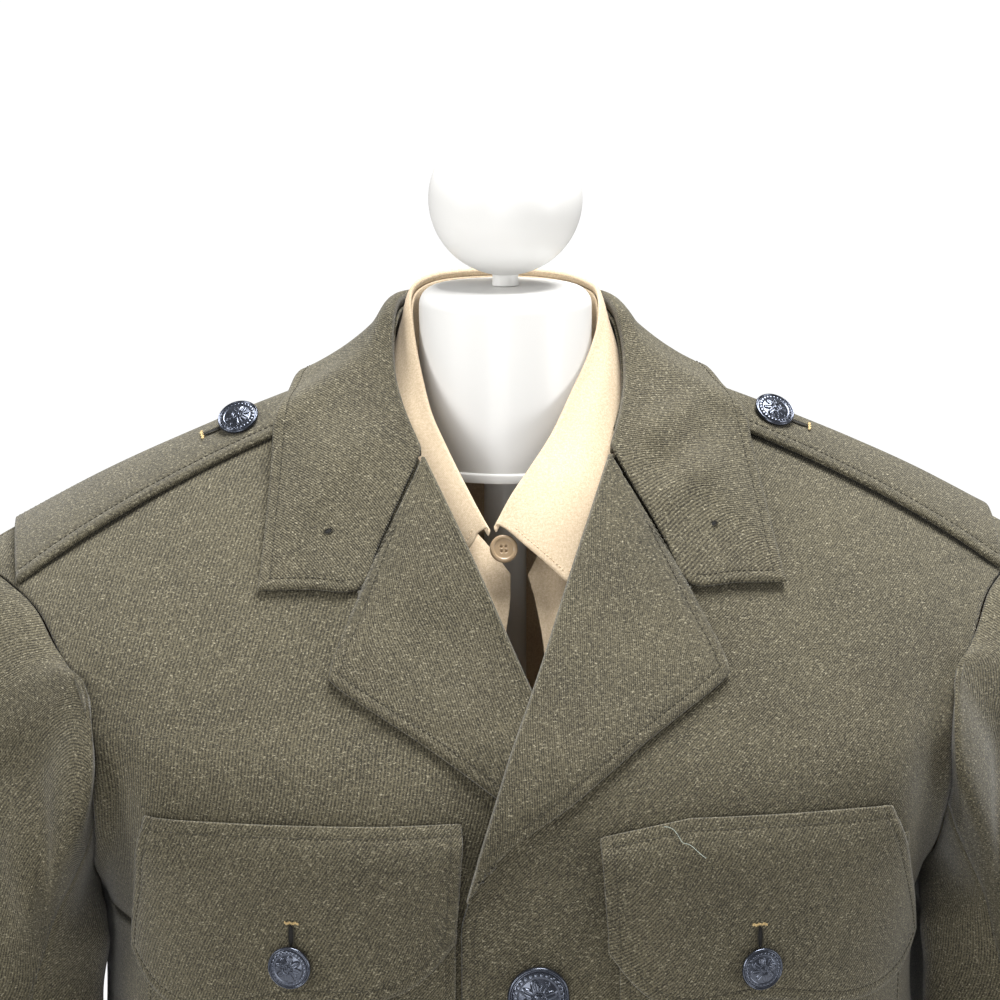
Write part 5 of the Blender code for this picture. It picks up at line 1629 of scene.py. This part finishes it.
def surface_place(out, z, hand, off):
    """A place on a front and its outward direction."""
    centre = front_surface(out, z, hand, off)
    beside = [front_surface(out + 0.004, z, hand, off), front_surface(out, z + 0.004, hand, off)]
    return mirror(centre, hand), mirror(tangent_normal(beside, centre), hand)


for number, z in enumerate(FRONT_BUTTON_HEIGHTS, start=1):
    centre, normal = surface_place(0.0, z, LEFT, 0.0)
    cast_button(f"cast_front_button_{number}", centre, normal, FRONT_BUTTON_RADIUS,
                [f"front_button_{number}"], 0.3 * number)
for hand, (out, z) in POCKET_BUTTONS.items():
    centre, normal = surface_place(out, z, hand, FLAP_ROWS["height"][2] + 0.0001)
    word = HAND_NAMES[hand]
    cast_button(f"cast_pocket_button_{word}", centre, normal, SMALL_BUTTON_RADIUS,
                [f"pocket_button_{word}"], 0.2 * hand)
shifts = np.array((0.004, 0.0, -0.004))
arcs = shifts - STRAP_BUTTON_FORWARD
grid = np.array([COAT.over_shoulder(STRAP_BUTTON_OUT - shift, arcs) for shift in shifts])
normal = grid_normals(grid)[1, 1]
centre = grid[1, 1] + normal * (STRAP_OFF + STRAP_BUTTON_LIFT)
tilted = normal + np.array([0.0, -STRAP_BUTTON_TILT, 0.0])
for hand in (LEFT, RIGHT):
    word = HAND_NAMES[hand]
    cast_button(f"cast_strap_button_{word}", mirror(centre, hand), mirror(tilted, hand), SMALL_BUTTON_RADIUS,
                [f"strap_button_{word}"], 0.5)

# Buttonholes
# Keyhole buttonholes worked in olive thread with a tan bar across the end, seen where
# they run out past the small buttons. The collar has two bare eyelets, and a loose
# pale thread lies on the left flap.
TAN_THREAD = plain_material("tan_thread", linear(196, 172, 124), 0.75)
# The slits of the holes and eyelets are near-black sheets: painted shade standing in for their openings.
SLIT_PAINTED_SHADE = plain_material("slit_painted_shade", linear(14, 12, 9), 0.9)
HOLE_LENGTH, HOLE_HALF_WIDTH, TACK = 0.0100, 0.0012, 0.0062
STRAP_HOLE_OUT, STRAP_HOLE_LIFT = STRAP_BUTTON_OUT + 0.0108, 0.0011
EYELET_OUT, EYELET_HEIGHT, EYELET_LENGTH, EYELET_HALF_WIDTH = 0.078, 1.3250, 0.0034, 0.0012


def worked_hole(name, centre, normal, along, length, half_width, tack=0.0):
    """A slot with close stitches round it and a tan bar of that width across its end; the slot is painted
    shade.
    """
    normal, along = normal / np.linalg.norm(normal), along / np.linalg.norm(along)
    across = np.cross(normal, along)
    turn = np.linspace(0, 2 * math.pi, 65)
    wide = half_width * (1 + 0.5 * smooth((np.cos(turn) - 0.5) / 0.5))
    path = centre + np.outer(np.cos(turn) * length / 2, along) + np.outer(np.sin(turn) * wide, across)
    normals = np.broadcast_to(normal, path.shape)
    mesh = stitch_mesh(name, [path], (path[None], normals[None]), 0.62 * MM, 0.34 * MM)
    finish_piece(name, mesh, THREAD)
    if tack:
        share = np.linspace(-1, 1, 23)[:, None]
        end = centre + along * length * 0.5
        path = end + across * share * tack / 2 + along * 0.25 * MM * np.sin(share * 9)
        mesh = stitch_mesh(name + "_tack", [path, path + along * 0.45 * MM],
                           (path[None], np.broadcast_to(normal, path.shape)[None]), 0.55 * MM, 0.36 * MM)
        finish_piece(name + "_tack", mesh, TAN_THREAD)
    # A thin near-black sheet over the slot: painted shade where the cut opens.
    ring = np.linspace(0, 2 * math.pi, 40, endpoint=False)
    radius = np.stack([0.3 + 0 * ring, 0.9 + 0 * ring, 0.9 + 0 * ring, 0.3 + 0 * ring])
    height = np.repeat(np.array([[0.12], [0.10], [-0.10], [-0.12]]) * MM, 40, 1)
    slit = polar_mesh(name + "_slit_shade", radius, height, (0, 0, 0), (0, 0, 1))
    sides = np.array([along * length / 2, across * half_width, normal]).T
    flat = np.empty(len(slit.vertices) * 3)
    slit.vertices.foreach_get("co", flat)
    slit.vertices.foreach_set("co", ((flat.reshape(-1, 3) @ sides.T) + centre).ravel())
    finish_piece(name + "_slit_shade", slit, SLIT_PAINTED_SHADE)


for hand, (out, z) in POCKET_BUTTONS.items():
    word = HAND_NAMES[hand]
    centre, normal = surface_place(out, z + 0.0125, hand, FLAP_ROWS["height"][2] + 0.0002)
    worked_hole(f"flap_hole_{word}", centre, normal, np.array([0, 0, 1.0]), HOLE_LENGTH, HOLE_HALF_WIDTH,
                TACK)
    grid = np.array([COAT.over_shoulder(STRAP_HOLE_OUT - shift, arcs) for shift in shifts])
    normal = grid_normals(grid)[1, 1]
    centre = grid[1, 1] + normal * (STRAP_OFF + STRAP_HOLE_LIFT)
    along = grid[2, 1] - grid[0, 1]
    worked_hole(f"strap_hole_{word}", mirror(centre, hand), mirror(normal, hand), mirror(along, hand),
                HOLE_LENGTH, HOLE_HALF_WIDTH, TACK)
for hand in (LEFT, RIGHT):
    flat = collar.reshape(-1, 3)
    away = (flat[:, 0] - hand * EYELET_OUT) ** 2 + (flat[:, 2] - EYELET_HEIGHT) ** 2
    nearest = int(np.argmin(away + (flat[:, 1] > 0)))
    normal = grid_normals(collar).reshape(-1, 3)[nearest]
    worked_hole(f"collar_eyelet_{HAND_NAMES[hand]}", flat[nearest] + normal * 0.0001, normal,
                np.array([1.0, 0, 0.4]), EYELET_LENGTH, EYELET_HALF_WIDTH)
PALE_THREAD = plain_material("pale_thread", linear(176, 186, 176), 0.7)
share = np.linspace(0, 1, 60)
u = 0.0500 + 0.0155 * share + 0.0010 * np.sin(7 * share)
z = 1.2180 - 0.0115 * share + 0.0009 * np.sin(11 * share)
lying = read(FLAP_ROWS, "height", (1.2192 - z) / 0.070, "share") + front_folds(u, z, LEFT) + 0.0004
path = front_surface(u, z, LEFT, lying)
mesh = stitch_mesh("loose_thread", [path], (flaps[LEFT], grid_normals(flaps[LEFT])), 0.45 * MM, 0.13 * MM)
finish_piece("loose_thread", mesh, PALE_THREAD)

# Shirt
# A poplin shirt under the coat: two fronts, a back in one piece and short sleeves.
# Only its neck shows, where the fronts gape a little below the collar button.
SHIRT_HEM, SHIRT_ARMPIT, SHIRT_TIP, SHIRT_DROP = 0.70, 1.186, 0.215, 0.0055
SHIRT_WALL, SHIRT_LENGTH, SHIRT_WIDTH = 0.0010, 0.68, 0.18
SHIRT_BODY = table(
    "height half_width front_depth back_depth squareness",
    (0.700, 0.172, 0.106, 0.098, 2.4),
    (0.900, 0.160, 0.106, 0.090, 2.4),
    (1.100, 0.158, 0.114, 0.102, 2.6),
    (1.170, 0.163, 0.116, 0.112, 2.8),
    (1.220, 0.183, 0.113, 0.113, 2.9),
    (1.280, 0.222, 0.108, 0.106, 3.0),
    (1.330, 0.254, 0.104, 0.099, 3.0),
    (1.420, 0.286, 0.100, 0.090, 3.0),
)
SHIRT = BodyForm(SHIRT_BODY, SHIRT_DROP)
SHIRT_GARMENT = dict(form=SHIRT, tip=SHIRT_TIP, armpit=SHIRT_ARMPIT, reach=0.76, every=2)
SHIRT_ARM = table(
    "height centre_out centre_y half_width half_depth",
    (1.060, 0.2265, -0.006, 0.0340, 0.054),
    (1.110, 0.2275, -0.004, 0.0340, 0.054),
)
SHIRT_CAP = table("under outward normal down", (0, 0.60, 0.06, 0.0), (0.5, 0.35, 0.30, 0.05), (1, 0, 1.0, 0))
SHIRT_BODY_HEIGHTS = (SHIRT_HEM, 0.86, 1.00, 1.10)
SHIRT_SHOULDER_HEIGHTS = (1.3210, 1.3350, 1.3490, 1.3620)
SHIRT_LAP, SHIRT_OPEN = 0.012, 1.3000
SHIRT_NECK = table(
    "height left_out right_out",
    (1.3050, 0.0020, 0.0030),
    (1.3180, 0.0100, 0.0130),
    (1.3330, 0.0240, 0.0300),
    (1.3480, 0.0370, 0.0430),
    (1.3620, 0.0470, 0.0490),
    (1.3740, 0.0560, 0.0560),
)
POPLIN = cloth_material(
    "poplin", pitch=0.55, lean=0.0, deep=linear(180, 160, 132), body=linear(208, 190, 164),
    fleck=linear(224, 210, 188), flecks=0.10, bump=0.22, roughness=0.85, sheen=0.06,
)
SHIRT_GAPE = table(
    "height left_out right_out",
    (1.1860, -0.0120, -0.0120),
    (1.2050, -0.0060, -0.0040),
    (1.2350, 0.0040, 0.0060),
    (1.2600, 0.0075, 0.0085),
    (1.2850, 0.0080, 0.0080),
    (1.3000, 0.0050, 0.0040),
)
SHIRT_CREASES = table(
    "u v u_end v_end width height",
    (0.017, 1.306, 0.018, 1.225, 0.0050, 0.0060),
    (0.004, 1.300, 0.004, 1.215, 0.0060, -0.0060),
    (0.040, 1.260, 0.120, 1.150, 0.0160, 0.0020),
    (0.030, 0.980, 0.120, 0.960, 0.0140, 0.0020),
    (0.060, 0.900, 0.080, 0.720, 0.0180, 0.0026),
)


def shirt_inner_edge(z, hand):
    """The shirt's front edge, closed low down and gaping to the neck, and its neck seam above."""
    column = "left_out" if hand == LEFT else "right_out"
    if z <= SHIRT_GAPE["height"][0]:
        return -SHIRT_LAP
    return float(read(SHIRT_GAPE if z <= SHIRT_OPEN else SHIRT_NECK, column, z))


def shirt_rows(face, hand):
    """A shirt panel's level sections; the right front lies in under the left one."""
    rows = []
    for z, out in panel_places(SHIRT_GARMENT, face, SHIRT_BODY_HEIGHTS, SHIRT_SHOULDER_HEIGHTS):
        start = shirt_inner_edge(z, hand) if face == FRONT else 0.0
        rows.append(SHIRT.section(z, start, out, face, np.linspace(0, 1, 25)))
    points = np.array(rows)
    if face == FRONT and hand == RIGHT:
        points[..., 1] += 0.0022 * (1 - smooth((points[..., 0] - 0.010) / 0.030))
    return open_side_seam(points, SHIRT_BODY_HEIGHTS, face)


def shirt_panel(face, hand):
    """A shirt front, or half its back, from its hem up to the neck and shoulder."""
    coarse = shirt_rows(face, hand)
    kinks = (len(SHIRT_BODY_HEIGHTS), len(SHIRT_BODY_HEIGHTS) + len(ARMHOLE["height"][::2]))
    pitch = 3.4 * MM if face == FRONT else 6.0 * MM
    corners = [row_share(coarse, 0, kink) for kink in kinks]
    down = steps(SHIRT_LENGTH, pitch * 1.5, near=True, corners=corners)
    across = steps(SHIRT_WIDTH, pitch)
    points = finer(coarse, down, across, kinks)
    u, z = points[..., 0], points[..., 2]
    soft = away_from_seams(down, across) * (across > 0.02)[None]
    folds = crease(u, z, SHIRT_CREASES) + ripple(u, z, 80 + face, 0.12, 0.0006)
    return points + grid_normals(points) * (folds * soft * (1 if face == FRONT else -1))[..., None]


SHIRT_SLOT = dict(material=POPLIN, slot="shirt_poplin")
half_back = shirt_panel(BACK, LEFT)
whole_back = np.concatenate([mirror(half_back[:, :0:-1], -1), half_back], 1)
cloth_piece("poplin_back", whole_back, SHIRT_WALL, **SHIRT_SLOT,
            nodes=["shirt_back"], cut=(0.492, 0.690, 0.86), held="hung",
            rests_on=["shoulder_form_left", "shoulder_form_right"], mirrored=True)
for hand in (LEFT, RIGHT):
    word = HAND_NAMES[hand]
    cloth_piece(f"poplin_front_{word}", mirror(shirt_panel(FRONT, hand), hand), SHIRT_WALL, **SHIRT_SLOT,
                nodes=[f"shirt_front_{word}"], cut=(0.250, 0.680, 0.895), held="hung",
                rests_on=[f"shoulder_form_{word}"], mirrored=hand == RIGHT)
    rings = sleeve_rings(SHIRT_GARMENT, SHIRT_CAP, SHIRT_ARM)
    rings = refine(rings, steps(0.24, 5 * MM, far=True), 0)
    closed = np.concatenate([rings, rings[:, :1]], 1)
    rings = refine(closed, np.linspace(0, 1, 73), 1)[:, :-1]
    cloth_piece(f"poplin_sleeve_{word}", mirror(rings, hand), SHIRT_WALL, **SHIRT_SLOT, wrap=True,
                nodes=[f"shirt_sleeve_{word}"], cut=(0.300, 0.260, 0.84), held="hung",
                rests_on=[f"poplin_front_{word}"], mirrored=hand == RIGHT)

# Shirt collar
# A leaf turned down over a band, open at the neck, with a four-hole tan button. The
# wearer's left point lies out over the shirt front; the right one is mostly hidden
# behind the coat's lapel.
SHIRT_COLLAR = table(
    "station fold_x fold_y fold_z edge_x edge_y edge_z bulge",
    (0, -0.0137, -0.0740, 1.3270, -0.0270, -0.0740, 1.3100, 0.001),
    (1, -0.0190, -0.0660, 1.3365, -0.0380, -0.0625, 1.3230, 0.001),
    (2, -0.0280, -0.0490, 1.3545, -0.0450, -0.0485, 1.3400, 0.001),
    (3, -0.0350, -0.0320, 1.3710, -0.0500, -0.0305, 1.3590, 0.002),
    (4, -0.0385, -0.0130, 1.3910, -0.0500, -0.0080, 1.3760, 0.000),
    (5, -0.0400, 0.0050, 1.4090, -0.0490, 0.0080, 1.3840, 0.000),
    (6, -0.0345, 0.0260, 1.4170, -0.0400, 0.0295, 1.3840, 0.000),
    (7, -0.0200, 0.0390, 1.4190, -0.0230, 0.0430, 1.3840, 0.000),
    (8, 0.0000, 0.0430, 1.4195, 0.0000, 0.0475, 1.3840, 0.000),
    (9, 0.0200, 0.0390, 1.4190, 0.0230, 0.0430, 1.3840, 0.000),
    (10, 0.0345, 0.0260, 1.4170, 0.0400, 0.0295, 1.3840, 0.000),
    (11, 0.0400, 0.0050, 1.4130, 0.0490, 0.0080, 1.3840, 0.000),
    (12, 0.0375, -0.0110, 1.3980, 0.0500, -0.0090, 1.3770, 0.002),
    (13, 0.0272, -0.0280, 1.3795, 0.0470, -0.0310, 1.3600, 0.002),
    (14, 0.0127, -0.0500, 1.3575, 0.0420, -0.0560, 1.3370, 0.003),
    (15, -0.0003, -0.0650, 1.3435, 0.0320, -0.0715, 1.3215, 0.003),
    (16, -0.0103, -0.0745, 1.3285, 0.0183, -0.0860, 1.3060, 0.0015),
)
SHIRT_FOLD = table("out up", (-0.0004, -0.0034), (-0.0010, -0.0012), (0.0002, 0.0000), (0.0026, -0.0008))
SHIRT_BAND_FOOT = table(
    "station x y z",
    (0, -0.0190, -0.0700, 1.3155),
    (1, -0.0250, -0.0620, 1.3215),
    (2, -0.0345, -0.0440, 1.3380),
    (3, -0.0415, -0.0270, 1.3550),
    (4, -0.0440, -0.0090, 1.3700),
    (5, -0.0440, 0.0075, 1.3800),
    (6, -0.0370, 0.0275, 1.3830),
    (7, -0.0215, 0.0400, 1.3840),
    (8, 0.0000, 0.0445, 1.3840),
    (9, 0.0215, 0.0400, 1.3840),
    (10, 0.0370, 0.0275, 1.3830),
    (11, 0.0440, 0.0075, 1.3800),
    (12, 0.0440, -0.0090, 1.3700),
    (13, 0.0380, -0.0250, 1.3560),
    (14, 0.0250, -0.0450, 1.3390),
    (15, 0.0090, -0.0620, 1.3235),
    (16, -0.0070, -0.0710, 1.3150),
)


def shirt_collar_frame(station):
    """The fold's point, the leaf's edge point, and the directions out and off the leaf."""
    fold, ahead, behind = (station_point(SHIRT_COLLAR, np.clip(where, 0, 16), "fold_")
                           for where in (station, station + 0.25, station - 0.25))
    along = ahead - behind
    along /= np.linalg.norm(along)
    edge = station_point(SHIRT_COLLAR, station, "edge_")
    out = edge - fold
    out -= along * (out @ along)
    up = np.cross(along, out)
    up /= np.linalg.norm(up)
    flat = np.array([out[0], out[1], 0.0])
    flat /= np.linalg.norm(flat)
    return fold, edge, flat, up


SHIRT_THREAD = plain_material("shirt_thread", linear(214, 190, 158), 0.8)
LEAF_FREE, LEAF_INSET, LEAF_SHARES = 12, 2.4 * MM, (0.33, 0.67, 1.0)
leaf_rows, band_rows = [], []
high = np.array([0.0, 0.0, 1.0])
for station in np.linspace(0, 16, 23):
    fold, edge, out, up = shirt_collar_frame(station)
    row = [fold + out * step + high * rise for step, rise in zip(SHIRT_FOLD["out"], SHIRT_FOLD["up"])]
    bulge = float(read(SHIRT_COLLAR, "bulge", station, "station"))
    start = row[-1]
    for share in LEAF_SHARES:
        row.append(start + (edge - start) * share + up * bulge * 4 * share * (1 - share))
    leaf_rows.append(row)
    foot = station_point(SHIRT_BAND_FOOT, station)
    top = row[0] - high * SEAM
    band_rows.append([foot, (foot + top) / 2, top])
leaf = np.array(leaf_rows)
down = steps(0.34, 2.4 * MM, near=True, far=True)
fold_share = row_share(leaf, 1, len(SHIRT_FOLD["out"]) - 1)
across = np.unique(np.concatenate([np.linspace(0, fold_share, 10), np.linspace(fold_share, 1, 22)]))
leaf = finer(leaf, down, across)
gap = distance_to(leaf, [leaf[:, -1], leaf[0, LEAF_FREE:], leaf[-1, LEAF_FREE:]])
lift = stitched_edge(gap, inset=LEAF_INSET, groove=0.18 * MM, roll=0.3 * MM)
leaf = leaf - grid_normals(leaf) * lift[..., None]
cloth_piece("poplin_leaf", leaf, SHIRT_WALL, **SHIRT_SLOT, nodes=["shirt_collar"], cut=(0.384, 0.044, 0.74),
            held="folded", rests_on=["poplin_band"], mirrored=True)
ends = [leaf[0, LEAF_FREE:], leaf[-1, LEAF_FREE:]]
paths = [inset_path(leaf, "last_column", LEAF_INSET, ends)]
for side in ("first_row", "last_row"):
    path = inset_path(leaf, side, LEAF_INSET, [leaf[:, -1]])
    paths.append(path[LEAF_FREE:])
sew("leaf_stitches", leaf, paths, -grid_normals(leaf), SHIRT_THREAD, 1.7 * MM, 0.16 * MM)
band = finer(np.array(band_rows)[1:-1], steps(0.32, 3 * MM), np.linspace(0, 1, 9))
cloth_piece("poplin_band", band, SHIRT_WALL, **SHIRT_SLOT, nodes=["shirt_band"], cut=(0.349, 0.032, 0.70),
            held="folded", rests_on=["poplin_back"])
# The collar button's tan is darkened to its tone in shade: painted shade on its own colour.
SHADED_TAN_PLASTIC = plain_material("tan_plastic_painted_shade", linear(150, 128, 100), 0.32, coat=0.3)
SHIRT_BUTTON_AT, SHIRT_BUTTON_RADIUS = (-0.0075, -0.0755, 1.3180), 0.00575
around, hole_at, hole_depth = 96, 0.17, 1.1
turn = np.linspace(0, 2 * math.pi, around, endpoint=False)[None]
r = np.linspace(0.03, 1.0, 34)[:, None]
rise = 2.3 - 0.7 * smooth((0.78 - r) / 0.12) - 0.5 * smooth((r - 0.90) / 0.10) + 0 * turn
for side_x in (-1, 1):
    for side_y in (-1, 1):
        away = (r * np.cos(turn) - hole_at * side_x) ** 2 + (r * np.sin(turn) - hole_at * side_y) ** 2
        rise = rise - hole_depth * np.exp(-away / 0.0075)
below = np.array([(1.0, 0.7), (0.9, 0.5), (0.03, 0.5)])
radii = np.concatenate([np.repeat(r, around, 1), np.repeat(below[:, :1], around, 1)])
rise = np.concatenate([rise, np.repeat(below[:, 1:], around, 1)]) * MM
mesh = polar_mesh("shirt_collar_button", radii * SHIRT_BUTTON_RADIUS, rise, SHIRT_BUTTON_AT,
                  (0.05, -0.95, 0.35))
finish_piece("shirt_collar_button", mesh, SHADED_TAN_PLASTIC)

# Display stand
# Turned wood under white enamel: a round base, a post, a neck block and a ball finial
# on a short stem. The shoulder forms keep their solids and take the same enamel.
BASE_RADIUS, BASE_HEIGHT, POST_RADIUS = 0.150, 0.014, 0.009
NECK_RADIUS, NECK_FOOT, NECK_TOP = 0.0365, 1.3385, 1.4170
BALL_RADIUS, BALL_CENTRE, STEM_RADIUS, REST_GAP = 0.0325, 1.4540, 0.0055, 0.0003
ENAMEL = plain_material("white_enamel", linear(225, 224, 221), 0.42, coat=0.1)


def turned_piece(name, profile, nodes, around=96):
    """A lathe shape about the upright axis from (radius, height) pairs, top to bottom."""
    profile = np.array(profile)
    radius = np.repeat(profile[:, :1], around, 1)
    height = np.repeat(profile[:, 1:], around, 1)
    mesh = polar_mesh(name, radius, height, (0, 0, 0), (0, 0, 1))
    mesh.set_sharp_from_angle(angle=math.radians(38))
    finish_piece(name, mesh, ENAMEL, nodes)


bend = np.linspace(0, math.pi / 2, 9)
edge_round, neck_round = 0.003, 0.008
base = [(0.002, BASE_HEIGHT), (BASE_RADIUS - 2 * edge_round, BASE_HEIGHT - 0.002)]
base += [(BASE_RADIUS - edge_round * (1 - math.sin(a)), BASE_HEIGHT - 0.002 - edge_round * (1 - math.cos(a)))
         for a in bend]
base += [(BASE_RADIUS, 0.001), (BASE_RADIUS - 0.001, 0.0), (0.002, 0.0)]
turned_piece("enamel_base", base, ["stand_base"])
post_top, post_foot = NECK_FOOT - REST_GAP, BASE_HEIGHT + REST_GAP
post = [(0.001, post_top), (POST_RADIUS - 0.0004, post_top), (POST_RADIUS, post_top - 0.0004)]
post += [(POST_RADIUS, post_foot), (0.001, post_foot)]
turned_piece("enamel_post", post, ["stand_post"])
block = [(0.001, NECK_TOP), (0.012, NECK_TOP)]
block += [(NECK_RADIUS - neck_round * (1 - math.sin(a)), NECK_TOP - neck_round * (1 - math.cos(a)))
          for a in bend]
block += [(NECK_RADIUS, NECK_FOOT + 0.004), (NECK_RADIUS + 0.0007, NECK_FOOT + 0.0036)]
block += [(NECK_RADIUS + 0.001, NECK_FOOT + 0.003), (NECK_RADIUS + 0.001, NECK_FOOT), (0.001, NECK_FOOT)]
turned_piece("enamel_neck_block", block, ["neck_block"])
ball = [(BALL_RADIUS * math.sin(a), BALL_CENTRE + BALL_RADIUS * math.cos(a))
        for a in np.linspace(0.03, math.pi - math.asin(STEM_RADIUS / BALL_RADIUS), 49)]
ball += [(STEM_RADIUS, NECK_TOP + 0.001), (STEM_RADIUS, NECK_TOP + REST_GAP), (0.001, NECK_TOP + REST_GAP)]
turned_piece("enamel_ball", ball, ["ball_finial"])
for hand in (LEFT, RIGHT):
    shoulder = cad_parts[f"shoulder_form_{HAND_NAMES[hand]}"]
    for place in shoulder.material_slots:
        place.material = ENAMEL
